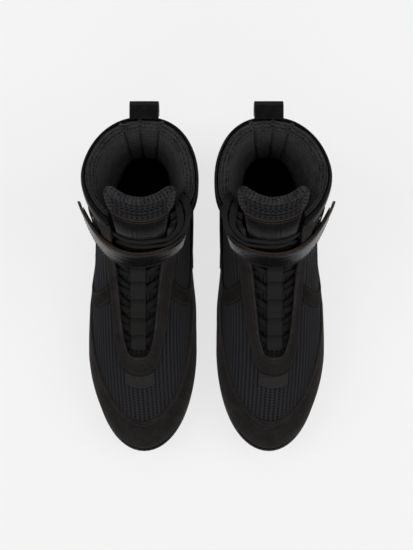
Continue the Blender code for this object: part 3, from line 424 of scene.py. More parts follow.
def leather_sheet(shape, u, v, inner, outer, grooves=(), relief=0.0, round_mm=0.9, edge_mm=0.25):
    """A cut sheet laid on the boot: rounded at its edge, sunk along its stitch lines."""
    away = edge_distance(place(u, v, outer))
    drop = rounded(away, (outer - inner) * 0.6, round_mm)
    for groove in grooves:
        drop = drop + pressed(away, 0.22, groove, 0.55)
    top = place(u, v, outer - drop + relief)
    under = place(u, v, inner)
    flat = np.stack([to_front_wrapped(u, v), rise(u, v)], -1)
    shape.sheet(top, under, flat, raw_edge(away, edge_mm))


def overlay(boot, part, paint, u, v, inner, outer, body="boot", **cut):
    """One cut sheet as its own object, in place of the CAD piece of the same name."""
    shape = Shape()
    leather_sheet(shape, u, v, inner, outer, **cut)
    shape.build(boot, part, paint, body=body, replaces=(part,))


def to_front_wrapped(u, v):
    """Like to_front, carrying on past the back line without a jump."""
    over = u > 1
    inside = np.where(over, 1.0, u)
    return to_front(inside, v) + np.where(over, (u - 1) * girth(v, -1), 0)


class Boot:
    """One boot: side is 1 for the left boot and -1 for the right."""

    def __init__(self, name, side):
        self.name = name
        self.side = side

    def point(self, mm):
        """A boot point in mm as a point of the row's frame in metres."""
        return (mm[0] * self.side * MM, mm[1] * MM, mm[2] * MM)


# ---- stitches --------------------------------------------------------------------------------

THREAD_RADIUS = 0.3
STITCH_PITCH = 2.9
STITCH_LENGTH = 2.35


def resample(points, outwards, pitch):
    """Even places along a line of points, with the direction and the outward vector at each."""
    run = path_run(points)
    count = max(2, int(run[-1] / pitch))
    at = (np.arange(count) + 0.5) * run[-1] / count

    def at_places(values, where):
        return np.stack([np.interp(where, run, values[:, k]) for k in range(3)], 1)

    direction = unit(at_places(points, at + 0.3) - at_places(points, at - 0.3))
    return at_places(points, at), direction, at_places(outwards, at)


def stitch_row(shape, points, outwards, pitch=STITCH_PITCH, length=STITCH_LENGTH):
    """A row of raised thread stitches along a line of points, with the surface's normals."""
    here, along, up = resample(points, outwards, pitch)
    up = unit(up - along * (up * along).sum(1, keepdims=True))
    across = np.cross(along, up)
    stations = np.array((-0.5, -0.42, -0.22, 0, 0.22, 0.42, 0.5)) * length
    thickness = np.array((0.35, 0.8, 1, 1, 1, 0.8, 0.35)) * THREAD_RADIUS
    lift = np.array((-0.16, 0.02, 0.12, 0.15, 0.12, 0.02, -0.16))
    angles = np.arange(6) * math.pi / 3
    for place_at, run, rise_dir, wide in zip(here, along, up, across):
        centre = place_at + stations[:, None] * run + lift[:, None] * rise_dir
        ring = np.cos(angles)[None, :, None] * wide + np.sin(angles)[None, :, None] * rise_dir
        body = centre[:, None, :] + ring * thickness[:, None, None]
        shape.add(body, np.stack(np.meshgrid(angles, stations), -1))


def stitch_line(shape, u, v, offset, **sizes):
    """A row of stitches through places on the boot."""
    points = place(u, v, offset)
    stitch_row(shape, points, place(u, v, np.asarray(offset) + 1.0) - points, **sizes)


def inset_line(points_u, points_v, away):
    """Moves a line on the boot sideways by a distance in mm, to the left of its direction."""
    mm = to_front_wrapped(points_u, points_v)
    up = rise(points_u, points_v)
    run_x, run_y = np.gradient(mm), np.gradient(up)
    size = np.hypot(run_x, run_y)
    per_u = np.where(points_u >= 0, girth(points_v, 1), girth(points_v, -1))
    per_v = (rise(points_u, points_v + 0.05) - rise(points_u, points_v - 0.05)) / 0.1
    return points_u - away * run_y / size / per_u, points_v + away * run_x / size / per_v


# ---- materials -------------------------------------------------------------------------------


class Paint:
    """A material made of nodes, with short calls for what the materials here share."""

    def __init__(self, name, **shader):
        self.material = bpy.data.materials.new(name)
        self.material.use_nodes = True
        self.tree = self.material.node_tree
        self.shader = self.tree.nodes["Principled BSDF"]
        for socket, value in shader.items():
            self.shader.inputs[socket.replace("_", " ")].default_value = value

    def node(self, kind, inputs=(), **settings):
        """A node with its settings; inputs maps a socket's name or number to a value or a socket."""
        made = self.tree.nodes.new(f"ShaderNode{kind}")
        for key, value in settings.items():
            setattr(made, key, value)
        for key, value in dict(inputs).items():
            if isinstance(value, bpy.types.NodeSocket):
                self.tree.links.new(value, made.inputs[key])
            else:
                made.inputs[key].default_value = value
        return made

    def math(self, operation, a, b=0.0):
        return self.node("Math", {0: a, 1: b}, operation=operation).outputs[0]

    def plus(self, a, b):
        return self.math("ADD", a, b)

    def times(self, a, b):
        return self.math("MULTIPLY", a, b)

    def object_place(self):
        return self.node("TexCoord").outputs["Object"]

    def flat_place(self):
        """Flat coordinates in mm as x and y."""
        uv = self.node("UVMap", uv_map="flat").outputs[0]
        split = self.node("SeparateXYZ", {0: uv})
        return [self.times(split.outputs[k], UV_MM) for k in (0, 1)]

    def edge(self):
        return self.node("Attribute", attribute_name="edge").outputs["Fac"]

    def noise(self, size_mm, detail=3.0, roughness=0.55):
        """Noise of a size in mm, between 0 and 1."""
        inputs = {"Vector": self.object_place(), "Scale": 1000.0 / size_mm, "Detail": detail}
        return self.node("TexNoise", {**inputs, "Roughness": roughness}).outputs["Fac"]

    def cells(self, size_mm):
        """Distance inside cells of a size in mm."""
        inputs = {"Vector": self.object_place(), "Scale": 1000.0 / size_mm}
        return self.node("TexVoronoi", inputs).outputs["Distance"]

    def range(self, value, low, high, to_low=0.0, to_high=1.0):
        """Value taken smoothly from low..high to to_low..to_high."""
        inputs = {0: value, 1: low, 2: high, 3: to_low, 4: to_high}
        return self.node("MapRange", inputs, interpolation_type="SMOOTHSTEP").outputs[0]

    def mix(self, factor, a, b):
        """Colour a at 0 and colour b at 1."""
        made = self.node("Mix", data_type="RGBA")
        for key, value in ((0, factor), (6, a), (7, b)):
            if isinstance(value, bpy.types.NodeSocket):
                self.tree.links.new(value, made.inputs[key])
            elif key == 0:
                made.inputs[0].default_value = value
            else:
                made.inputs[key].default_value = (*value, 1)
        return made.outputs[2]

    def color(self, value):
        self.tree.links.new(value, self.shader.inputs["Base Color"])

    def roughness(self, value):
        self.tree.links.new(value, self.shader.inputs["Roughness"])

    def bump(self, *heights):
        """Bumps stacked on each other: each is a height and its depth in mm."""
        normal = None
        for height, depth in heights:
            made = self.node("Bump", {"Height": height, "Strength": 1.0, "Distance": depth * MM})
            if normal is not None:
                self.tree.links.new(normal, made.inputs["Normal"])
            normal = made.outputs[0]
        self.tree.links.new(normal, self.shader.inputs["Normal"])

    def wave(self, value, pitch):
        """1 at each multiple of the pitch in mm, 0 half way between."""
        turned = self.times(value, 2 * math.pi / pitch)
        return self.plus(self.times(self.math("COSINE", turned), 0.5), 0.5)


RAW_EDGE = (0.058, 0.038, 0.027)
GLOSS_DARK = (0.0046, 0.0043, 0.0043)
LEATHER_SHADES = ((0.008, 0.0074, 0.0072), (0.0155, 0.0145, 0.014))
TERRY_SHADES = ((0.042, 0.039, 0.042), (0.0045, 0.0042, 0.0047))
# The towelling's painted shade colour, used down inside the shaft.
TERRY_PAINTED_SHADE = (0.0022, 0.002, 0.0023)  # down inside the shaft
RUBBER_SHADES = ((0.0075, 0.0075, 0.008), (0.016, 0.016, 0.0165))
THREAD_SHADES = ((0.008, 0.0078, 0.0076), (0.032, 0.031, 0.03))
SUEDE_SHADES = ((0.0085, 0.0075, 0.0072), (0.0185, 0.0165, 0.016), (0.034, 0.0305, 0.0295))
MESH_DARK = (0.0135, 0.0138, 0.0158)
MESH_LIGHT = (0.038, 0.039, 0.044)
# Painted shade: the colour of the valleys between the ribs, and the near-black inside each hole.
MESH_VALLEY_SHADE = (0.016, 0.0163, 0.018)
MESH_HOLE_SHADE = (0.0005, 0.0005, 0.0006)
RIB_PITCH = 4.4
RIB_DEPTH = 0.2
HOLE_PITCH = 2.8
HOLE_DEPTH = 0.15
TERRY_PITCH = 3.1  # from one row of terry loops to the next
# Heights between which the painted shade comes in.
TERRY_SHADE_HEIGHTS = (0.193, 0.145)  # heights in metres between which it darkens


def suede(name, level=1.0):
    """Brushed suede, lighter or darker by its level."""
    paint = Paint(name, Roughness=0.95, Specular_IOR_Level=0.08, Sheen_Weight=0.04, Sheen_Roughness=0.45)
    paint.shader.inputs["Sheen Tint"].default_value = (1.0, 0.93, 0.86, 1)
    nap = paint.noise(0.45, 4.0, 0.7)
    broad = paint.noise(14, 3.0)
    blotch = paint.noise(3.2, 4.0, 0.65)
    tone = paint.plus(paint.times(blotch, 0.6), paint.times(broad, 0.6))
    shades = [tuple(level * c for c in shade) for shade in SUEDE_SHADES]
    base = paint.mix(paint.range(tone, 0.4, 0.85), shades[0], shades[1])
    fuzzy = paint.mix(paint.range(nap, 0.52, 0.8), base, shades[2])
    paint.color(paint.mix(paint.times(paint.edge(), 0.3), fuzzy, RAW_EDGE))
    paint.bump((blotch, 0.3), (nap, 0.2))
    return paint.material


def knit(paint):
    """Knitted mesh: ribs up the cloth with a column of small holes in each valley, with painted shade in the
    valleys and inside the holes.
    """
    x, y = paint.flat_place()
    rib = paint.wave(x, RIB_PITCH)
    valley = paint.range(rib, 0.66, 0.36)
    hole = paint.times(valley, paint.range(paint.wave(y, HOLE_PITCH), 0.42, 0.68))
    yarn = paint.times(paint.wave(x, 0.55), paint.wave(y, 0.7))
    fuzz = paint.noise(0.7, 2.0)
    tone = paint.plus(paint.times(yarn, 0.6), paint.times(fuzz, 0.6))
    thread_tone = paint.mix(paint.range(tone, 0.2, 0.9), MESH_DARK, MESH_LIGHT)
    # painted shade: darker in the valleys between the ribs
    base = paint.mix(paint.range(rib, 0.0, 0.5), MESH_VALLEY_SHADE, thread_tone)
    # painted shade: each hole is near-black, as the shade inside it
    return paint.mix(hole, base, MESH_HOLE_SHADE), hole, yarn


def mesh_cloth():
    """The knitted mesh of the upper."""
    paint = Paint("mesh", Roughness=0.85, Specular_IOR_Level=0.1, Sheen_Weight=0.03)
    base, hole, yarn = knit(paint)
    paint.color(base)
    paint.bump((hole, -0.6), (yarn, 0.2))
    return paint.material


def tongue_cloth(rows):
    """The knitted mesh with rows of round holes, at distances in mm up the tongue, painted near-black as the
    shade inside them.
    """
    paint = Paint("tongue_mesh", Roughness=0.85, Specular_IOR_Level=0.1, Sheen_Weight=0.03)
    base, hole, yarn = knit(paint)
    x, y = paint.flat_place()
    dots = 0.0
    for row in rows:
        near = paint.range(paint.math("ABSOLUTE", paint.math("SUBTRACT", y, row)), 1.0, 0.5)
        row_of_holes = paint.times(near, paint.range(paint.wave(x, 4.6), 0.55, 0.8))
        dots = paint.math("MAXIMUM", dots, row_of_holes)
    # painted shade: the round holes are near-black, as the shade inside them
    paint.color(paint.mix(dots, base, (0.0008, 0.0008, 0.0008)))
    paint.bump((hole, -0.5), (yarn, 0.2), (dots, -0.8))
    return paint.material


def gloss_leather():
    """Smooth coated leather, faintly creased, with a raw brown edge."""
    paint = Paint("gloss_leather", Specular_IOR_Level=0.09, Coat_Weight=0.01, Coat_Roughness=0.25)
    grain = paint.cells(0.9)
    crease = paint.noise(5, 3.0)
    paint.roughness(paint.range(paint.noise(7), 0.3, 0.75, 0.2, 0.3))
    light = tuple(c * 1.8 for c in GLOSS_DARK)
    body = paint.mix(paint.range(crease, 0.4, 0.8), GLOSS_DARK, light)
    paint.color(paint.mix(paint.edge(), body, RAW_EDGE))
    paint.bump((crease, 0.2), (grain, 0.07))
    return paint.material


def smooth_leather():
    """Plain matt leather."""
    paint = Paint("smooth_leather", Specular_IOR_Level=0.22)
    grain = paint.cells(0.8)
    paint.roughness(paint.range(paint.noise(4), 0.3, 0.75, 0.45, 0.62))
    body = paint.mix(paint.range(paint.noise(2.5), 0.35, 0.8), *LEATHER_SHADES)
    paint.color(paint.mix(paint.edge(), body, RAW_EDGE))
    paint.bump((paint.noise(3), 0.15), (grain, 0.1))
    return paint.material


def woven(name, dark, light, pitch, depth):
    """Flat woven tape: a herringbone of yarns across and along."""
    paint = Paint(name, Roughness=0.88, Specular_IOR_Level=0.08, Sheen_Weight=0.03)
    x, y = paint.flat_place()
    slant, back = paint.plus(x, y), paint.math("SUBTRACT", x, y)
    yarn = paint.math("MAXIMUM", paint.wave(slant, pitch), paint.wave(back, pitch))
    fuzz = paint.noise(0.6, 2.0)
    tone = paint.plus(paint.times(yarn, 0.7), paint.times(fuzz, 0.5))
    paint.color(paint.mix(paint.range(tone, 0.35, 1.05), dark, light))
    paint.bump((yarn, depth), (fuzz, 0.1))
    return paint.material


def terry():
    """Looped towelling in rows, with painted shade that darkens it down inside the shaft where little light
    reaches.
    """
    paint = Paint("terry", Roughness=0.97, Specular_IOR_Level=0.05, Sheen_Weight=0.08, Sheen_Roughness=0.5)
    rows = paint.wave(paint.flat_place()[1], TERRY_PITCH)
    loops = paint.cells(1.2)
    fuzz = paint.noise(0.5, 3.0)
    broad = paint.noise(9)
    tone = paint.plus(paint.times(loops, 0.6), paint.times(broad, 0.5))
    tone = paint.math("SUBTRACT", tone, paint.times(rows, 0.22))
    height = paint.node("SeparateXYZ", {0: paint.object_place()}).outputs[2]
    cloth = paint.mix(paint.range(tone, 0.1, 0.8), *TERRY_SHADES)
    # painted shade: the lining is darkened lower down inside the shaft
    paint.color(paint.mix(paint.range(height, *TERRY_SHADE_HEIGHTS), cloth, TERRY_PAINTED_SHADE))
    paint.bump((rows, 0.55), (loops, -0.5), (fuzz, 0.15))
    return paint.material


def rubber():
    """Lightly scuffed rubber."""
    paint = Paint("rubber", Specular_IOR_Level=0.4)
    scuff = paint.noise(2.2, 5.0, 0.7)
    paint.roughness(paint.range(scuff, 0.3, 0.8, 0.3, 0.52))
    paint.color(paint.mix(paint.range(scuff, 0.5, 0.85), *RUBBER_SHADES))
    paint.bump((paint.noise(0.6, 3.0), 0.05))
    return paint.material


def thread():
    """Twisted sewing thread."""
    paint = Paint("thread", Roughness=0.65, Specular_IOR_Level=0.2, Sheen_Weight=0.05)
    twist = paint.noise(0.35, 2.0)
    paint.color(paint.mix(paint.range(twist, 0.35, 0.7), *THREAD_SHADES))
    paint.bump((twist, 0.08))
    return paint.material


def felt(name, dark, light, size=0.5):
    """Short brushed fibres: the loop pad, the hook pad and the hidden boards."""
    paint = Paint(name, Roughness=0.95, Specular_IOR_Level=0.2, Sheen_Weight=0.2)
    fibre = paint.noise(size, 4.0, 0.75)
    paint.color(paint.mix(paint.range(fibre, 0.35, 0.7), dark, light))
    paint.bump((fibre, 0.3))
    return paint.material


SUEDE = suede("suede")
BAND_SUEDE = suede("band_suede", 0.65)
BINDING = suede("binding_suede", 1.7)
MESH = mesh_cloth()
GLOSS = gloss_leather()
LEATHER = smooth_leather()
LACE = woven("lace_weave", (0.0035, 0.0033, 0.0032), (0.017, 0.016, 0.0156), 1.0, 0.3)
TAPE = woven("tape_weave", (0.004, 0.0037, 0.0036), (0.025, 0.0235, 0.0225), 1.5, 0.45)
TERRY = terry()
RUBBER = rubber()
THREAD = thread()
LOOP_FELT = felt("loop_felt", (0.012, 0.012, 0.012), (0.035, 0.035, 0.036))
HOOKS = felt("hook_tape", (0.01, 0.01, 0.011), (0.03, 0.03, 0.032), 0.9)
BOARD = felt("fibre_board", (0.16, 0.12, 0.08), (0.36, 0.29, 0.21), 1.5)
STIFFENER = felt("stiffener_sheet", (0.14, 0.13, 0.12), (0.27, 0.26, 0.24), 1.2)
FOAM = felt("foam", (0.4, 0.385, 0.36), (0.56, 0.54, 0.5), 0.8)
KNIT = felt("lining_knit", (0.015, 0.0145, 0.016), (0.038, 0.036, 0.04), 0.8)

# ---- the upper -------------------------------------------------------------------------------

MESH_THICK = 1.2
OVERLAY_IN = 0.15
OVERLAY_OUT = 1.7
LOW_RING = 0.35  # the upper's lower edge, inside the sole's wall
DOUBLE_ROW = (1.9, 4.3)  # mm from an edge to its two rows of stitches

# The cloth is pulled wider round the sides: mm from the front line, and mm of unstretched cloth.
CLOTH_STRETCH = ((0, 0), (25, 24.5), (50, 43), (400, 270))
FREE_RINGS = (1.3, 2.3, 3.2)  # rows of the mesh below the overlays, where nothing shows


def cloth_across(u, v):
    """Distance across the unstretched cloth from the front line."""
    mm = to_front_wrapped(u, v)
    return np.sign(mm) * column(CLOTH_STRETCH, np.abs(mm))


def rib_relief(u, v):
    """Height of the knitted ribs, with a dimple at each hole."""
    x, y = cloth_across(u, v), rise(u, v)
    wave = 0.5 + 0.5 * np.cos(2 * math.pi * x / RIB_PITCH)
    dimple = 0.5 + 0.5 * np.cos(2 * math.pi * y / HOLE_PITCH)
    return RIB_DEPTH * (wave**0.7 - 1) - HOLE_DEPTH * (1 - wave) ** 2 * dimple


def cloth_panel(boot, part, u, v):
    """A mesh panel with its ribs standing up in the surface."""
    shape = Shape()
    flat = np.stack([cloth_across(u, v), rise(u, v)], -1)
    shape.sheet(place(u, v, rib_relief(u, v)), place(u, v, -MESH_THICK), flat)
    shape.build(boot, part, MESH, replaces=(part,))


def vamp(boot):
    """The mesh over the toes, dense where it shows."""
    u = np.linspace(-SEAM_U, SEAM_U, 301)
    low = np.array((LOW_RING, *FREE_RINGS, 3.7))
    edge = column(SEAM, np.abs(u)) + 0.02
    start = 3.8
    share = np.linspace(0, 1, 75)[:, None]
    high = start + share * (np.minimum(edge, 7.2) - start)
    v = np.concatenate([np.tile(low[:, None], (1, len(u))), high])
    cloth_panel(boot, "vamp_mesh", np.tile(u, (len(v), 1)), v)


def seam_u(v):
    """u of the seam's falling side at ring v."""
    falling = SEAM[3:]
    return smooth(-np.asarray(v, float), [-row[1] for row in falling], [row[0] for row in falling])


def throat_u(v, side, past):
    """u of the throat's edge plus a distance outwards."""
    return from_front(side * (column(THROAT, v) + past), v)


def quarter(boot, part, side):
    """One quarter, from the seam and the throat round to the back line."""
    v = np.concatenate([[LOW_RING, *FREE_RINGS], np.linspace(3.9, 14.0, 150)])
    front = np.where(v < THROAT_FOOT, side * (seam_u(np.maximum(v, 4.15)) - 0.004), throat_u(v, side, 0.4))
    back = from_back(side * 0.05, v)
    back = np.where(back > 1, back - 2, back)
    share = np.linspace(0, 1, 161)
    u = front[:, None] + share * (back - front)[:, None]
    cloth_panel(boot, part, u, np.tile(v[:, None], (1, len(share))))


def toe_guard(boot, thread_shape):
    """The suede round the toe, with a double row of stitches below its upper edge."""
    across = np.linspace(-SEAM_U - 0.04, SEAM_U + 0.04, 241)
    top = column(GUARD_TOP, np.abs(across))
    v = LOW_RING + shares(55, 1.6)[:, None] * (top - LOW_RING)
    u = np.tile(across, (len(v), 1))
    ripple = 0.1 * noise(to_front(u, v) / 6, rise(u, v) / 6)
    overlay(boot, "toe_guard", SUEDE, u, v, OVERLAY_IN, OVERLAY_OUT, grooves=DOUBLE_ROW, relief=ripple)
    for away in DOUBLE_ROW:
        stitch_line(thread_shape, *inset_line(u[-1], v[-1], -away), OVERLAY_OUT - 0.12)


def heel_cover(boot, thread_shape):
    """The suede round the heel, its peak up the back seam."""
    half = np.linspace(SEAM_U + 0.03, 1, 100)
    u = np.concatenate([half, 2 - half[-2::-1]])
    top = column(HEEL_TOP, np.where(u > 1, 2 - u, u))
    v = LOW_RING + shares(60, 1.5)[:, None] * (top - LOW_RING)
    grid_u = np.tile(u, (len(v), 1))
    ripple = 0.1 * noise(to_front_wrapped(grid_u, v) / 6, rise(grid_u, v) / 6, 2.0)
    inner, outer = OVERLAY_IN + 0.9, OVERLAY_OUT + 0.9
    overlay(boot, "heel_cover", SUEDE, grid_u, v, inner, outer, grooves=DOUBLE_ROW, relief=ripple)
    for away in DOUBLE_ROW:
        line_u, line_v = inset_line(u, top, -away)
        stitch_line(thread_shape, line_u[6:-6], line_v[6:-6], outer - 0.12)


# The eyestay by its share from the foot of the throat to its top: ring of its inner and outer
# edges; its foot's reach across at both edges, mm; its width on the outer and inner sides, mm.
EYESTAY_RINGS = (
    (0, 6.0, 5.42), (0.08, 6.01, 5.46), (0.16, 6.1, 5.72), (0.24, 6.45, 6.3), (0.34, 7.1, 7.05),
    (0.48, 8.2, 8.2), (0.62, 9.5, 9.5), (0.8, 11.6, 11.6), (1, 13.6, 13.6),
)
EYESTAY_FOOT = ((0, 0, 0), (0.08, 5.6, 12.4), (0.16, 11, 22.4), (0.2, 13, 24.2))
EYESTAY_SHARES = np.linspace(-1, 1, 401)
EYESTAY_WIDTH = ((0.2, 11, 11), (0.34, 9.5, 15.5), (0.5, 9.2, 16), (0.8, 9, 11.5), (1, 8.5, 9.2))


def eyestay_edges(s):
    """The eyestay's inner and outer edges: s runs -1..1 from the inner side's top to the outer's."""
    side = np.where(s < 0, -1, 1)
    a = np.abs(s)
    v_in, v_out = column(EYESTAY_RINGS, a), column(EYESTAY_RINGS, a, 2)
    foot = a < EYESTAY_FOOT[-1][0]
    reach_in = np.where(foot, column(EYESTAY_FOOT, a), column(THROAT, np.maximum(v_in, 6.001)))
    width = np.where(side < 0, column(EYESTAY_WIDTH, a, 2), column(EYESTAY_WIDTH, a, 1))
    reach_out = np.where(foot, column(EYESTAY_FOOT, a, 2), reach_in + width)
    return side * reach_in, v_in, side * reach_out, v_out


def eyestay(boot, thread_shape):
    """The suede facing round the throat, stitched along both its edges."""
    mm_in, v_in, mm_out, v_out = eyestay_edges(EYESTAY_SHARES)
    share = shares(11, 0.8)[:, None]
    v = v_in + share * (v_out - v_in)
    u = from_front(mm_in + share * (mm_out - mm_in), v)
    overlay(boot, "eyestay", SUEDE, u, v, OVERLAY_IN, OVERLAY_OUT, grooves=(1.9,))
    for k in (1.9 / 11, 1 - 1.9 / 11):
        line_v = v_in + k * (v_out - v_in)
        line_mm = mm_in + k * (mm_out - mm_in)
        stitch_line(thread_shape, from_front(line_mm, line_v), line_v, OVERLAY_OUT - 0.12)


def throat_binding(boot):
    """The rolled binding along the facing's inner edge."""
    mm_in, v_in, _, _ = eyestay_edges(EYESTAY_SHARES)
    angles = np.linspace(0, 2 * math.pi, 13)[:-1]
    across = 1.7 * np.cos(angles)
    height = 1.6 * np.sin(angles)
    sign = np.where(EYESTAY_SHARES < 0, -1, 1)
    foot = np.clip(1 - np.abs(EYESTAY_SHARES) / 0.16, 0, 1)[:, None]
    grid_mm = (mm_in - sign * 0.2)[:, None] + sign[:, None] * across * (1 - foot)
    grid_v = v_in[:, None] - 0.035 * foot * across
    points = place(from_front(grid_mm, grid_v), grid_v, 0.2 + height)
    run = running(points, 0)
    roll = Shape()
    roll.add(points, np.stack([np.broadcast_to(across * 2, run.shape), run], -1))
    roll.build(boot, "throat_binding", BINDING)


BAND_PAST_THROAT = {1: (9.6, 9.2), -1: (15.2, 16)}  # mm from the throat to the band's top, by side
BAND_FEET = ((0.5, 3.95), (0.56, 3.95))  # u and v of the band's lower corners


def side_band(boot, part, side, thread_shape):
    """The diagonal band from the eyestay down to the guard."""
    past_throat = BAND_PAST_THROAT[side]
    tops = ((throat_u(7.35, 1, past_throat[0]), 7.45), (throat_u(7.9, 1, past_throat[1]), 8.0))
    along = np.linspace(0, 1, 101)
    edges = []
    for top, foot in zip(tops, BAND_FEET):
        sag = 0.25 * np.sin(math.pi * along)
        edge_v = top[1] + along * (foot[1] - top[1]) - sag
        edges.append(np.stack([top[0] + along * (foot[0] - top[0]), edge_v], 1))
    mix = shares(12, 1.0)[:, None, None]
    band = edges[0] + mix * (edges[1] - edges[0])
    u, v = side * band[..., 0], band[..., 1]
    overlay(boot, part, BAND_SUEDE, u, v, OVERLAY_IN - 0.1, OVERLAY_OUT - 0.1, grooves=(1.8,))
    for k in (1.8 / 12, 1 - 1.8 / 12):
        line = edges[0] + k * (edges[1] - edges[0])
        stitch_line(thread_shape, side * line[4:-3, 0], line[4:-3, 1], OVERLAY_OUT - 0.22)


def vamp_tab(boot, thread_shape):
    """The small leather tab under the throat, stitched along its long edges."""
    v = (5.0 + shares(13, 0.6) * 0.4)[:, None]
    mm = (shares(29, 1.0) - 0.5) * 29
    grid_mm, grid_v = np.broadcast_arrays(mm, v)
    u = from_front(grid_mm, grid_v)
    overlay(boot, "vamp_tab", LEATHER, u, grid_v, OVERLAY_IN, 1.35, grooves=(1.5,), edge_mm=0.4)
    line = np.linspace(-13, 13, 40)
    for row in (5.045, 5.355):
        line_v = np.full(40, row)
        stitch_line(thread_shape, from_front(line, line_v), line_v, 1.2, pitch=2.2, length=1.7)


def back_strip(boot, thread_shape):
    """The leather strip up the back seam."""
    v = 1.0 + shares(150, 2.0)[:, None] * 12.4
    mm = (shares(17, 1.0) - 0.5) * 17
    grid_mm, grid_v = np.broadcast_arrays(mm, v)
    u = from_back(-grid_mm, grid_v)
    overlay(boot, "back_strip", LEATHER, u, grid_v, 0.2, 3.4, grooves=(1.7,))
    line_v = np.linspace(1.2, 13.2, 120)
    for mm in (-6.8, 6.8):
        stitch_line(thread_shape, from_back(np.full(120, mm), line_v), line_v, 3.25)


# The collar binding's section: ring number, offset, and how much of the raw edge shows there.
COLLAR_SECTION = (
    (13.2, 0.3, 1), (13.21, 1.0, 0.8), (13.28, 1.5, 0.1), (13.5, 1.62, 0), (13.8, 1.6, 0),
    (14.02, 1.45, 0), (14.18, 1.1, 0), (14.3, 0.5, 0), (14.33, -0.3, 0), (14.2, -1.0, 0.3),
    (14.05, -1.2, 0.6), (14.0, -0.2, 0.6),
)


def collar_binding(boot):
    """The thin glossy edge round the outside of the collar."""
    start, end = float(throat_u(13.7, 1, 1.0)), 2 + float(throat_u(13.7, -1, 1.0))
    u = np.linspace(start, end, 221)[:, None]
    v, offset, edge = np.array(COLLAR_SECTION).T
    points = place(u, v, offset)
    shape = Shape()
    shape.add(points, np.stack([running(points, 0), running(points, 1)], -1), edge)
    shape.build(boot, "collar_binding", GLOSS, replaces=("collar_binding",))


# ---- the linings -----------------------------------------------------------------------------

LINER_OUT = -1.9
LINER_OUT_LOW = -3.4
LINING_SEAMS = (-16.0, 3.0, 20.0)  # mm from the back line
LINING_INSIDE = ((1.3, -6.3), (5.5, -8), (7.5, -13), (9.5, -17), (11.5, -16), (13, -13.6), (13.9, -12.4))
LINING_RIM = (
    (13.9, -1.9), (14.3, -2.1), (14.52, -3.2), (14.68, -5), (14.76, -7), (14.7, -9),
    (14.42, -11), (13.9, -12.4),
)


def lining_setback(v):
    """How far the padded lining stays back from the throat's edge."""
    return np.interp(v, (7.2, 11.9, 12.9, 14), (10.6, 10.6, 6.5, 1.4))


def lining_section():
    """Ring numbers and offsets up the outside of the lining, over its rim and down its inside."""
    up = np.linspace(1.3, 13.9, 100)
    outside = np.where(up < 7.3, LINER_OUT_LOW, LINER_OUT)
    at = np.linspace(0, len(LINING_RIM) - 1, 36)[1:-1]
    keys = np.array(LINING_RIM)
    count = np.arange(len(keys))
    inside = column(LINING_INSIDE, up[::-1])
    v = np.concatenate([up, smooth(at, count, keys[:, 0]), up[::-1]])
    offset = np.concatenate([outside, smooth(at, count, keys[:, 1]), inside])
    return v, offset, np.arange(len(v)) >= len(up)


def collar_lining(boot):
    """The padded terry lining, rolled over the collar's edge, with seams down its back."""
    v, offset, inside = lining_section()
    edge_v = np.clip(v, 0, 14)
    along = seam_u(np.clip(v, 4.15, 7.2)) + 0.08
    high = v > THROAT_FOOT
    front_outer = np.where(high, throat_u(edge_v, 1, lining_setback(v)), along)
    front_inner = np.where(high, -throat_u(edge_v, -1, lining_setback(v)), along)
    share = np.linspace(0, 1, 241)[:, None]
    u = front_outer + share * (2 - front_inner - front_outer)
    reach = np.minimum(share, 1 - share) * 260
    padding = np.clip(0.3 + 0.7 * reach / 38, 0.3, 1)
    grid = np.where(inside, LINER_OUT + (offset - LINER_OUT) * padding, offset)
    mm_back = (1 - u) * np.where(u > 1, girth(edge_v, -1), girth(edge_v, 1))
    soft = 0.5 * noise(mm_back / 9, rise(u, v) / 9, 3.0)
    for seam in LINING_SEAMS:
        soft = soft - 1.8 * np.exp(-(((mm_back - seam) / 1.5) ** 2))
    points = place(u, np.broadcast_to(v, u.shape), grid - np.where(inside, soft, 0))
    shape = Shape()
    flat = np.stack([mm_back, np.broadcast_to(running(points, 1)[120], u.shape)], -1)
    shape.add(points, flat)
    made = shape.build(boot, "collar_lining", TERRY, replaces=("collar_lining",))


# ---- the tongue ------------------------------------------------------------------------------

TONGUE_LINE = (
    (0, 43.5, 162.8), (1, 46, 168), (2, 51, 175), (3, 58.5, 182), (4, 67, 188), (5, 74.5, 191.8),
)
TONGUE_TOP_HALF = ((0, 22.5), (1, 23.5), (2, 25), (3, 27.5), (4, 30.5), (5, 32.5))
TONGUE_TOP_RADIUS = 39
TONGUE_TOP_X = 54.2
PERFORATED = (3.42, 3.8)  # places up the tongue's middle with a row of round holes
TONGUE_HINGE = (TONGUE_TOP_X, TONGUE_LINE[0][1] + 3.0, TONGUE_LINE[0][2] - 0.8)


def tongue_place(mm, q, offset):
    """Points over the tongue's top: mm across, q along its middle line, offset outwards."""
    mm, q, offset = np.broadcast_arrays(*(np.asarray(a, float) for a in (mm, q, offset)))
    y, z = column(TONGUE_LINE, q), column(TONGUE_LINE, q, 2)
    ahead = np.minimum(q + 0.02, TONGUE_LINE[-1][0])
    behind = ahead - 0.04
    dy = column(TONGUE_LINE, ahead) - column(TONGUE_LINE, behind)
    dz = column(TONGUE_LINE, ahead, 2) - column(TONGUE_LINE, behind, 2)
    size = np.hypot(dy, dz)
    out_y, out_z = -dz / size, dy / size
    angle = mm / TONGUE_TOP_RADIUS
    back = TONGUE_TOP_RADIUS * (1 - np.cos(angle))
    x = TONGUE_TOP_X + (TONGUE_TOP_RADIUS + offset) * np.sin(angle)
    return np.stack([x, y + back + out_y * np.cos(angle) * offset, z + out_z * offset], -1)


TONGUE_SHARES = np.linspace(-1, 1, 91)  # across the tongue
TONGUE_CENTRE = 45  # the middle one of them
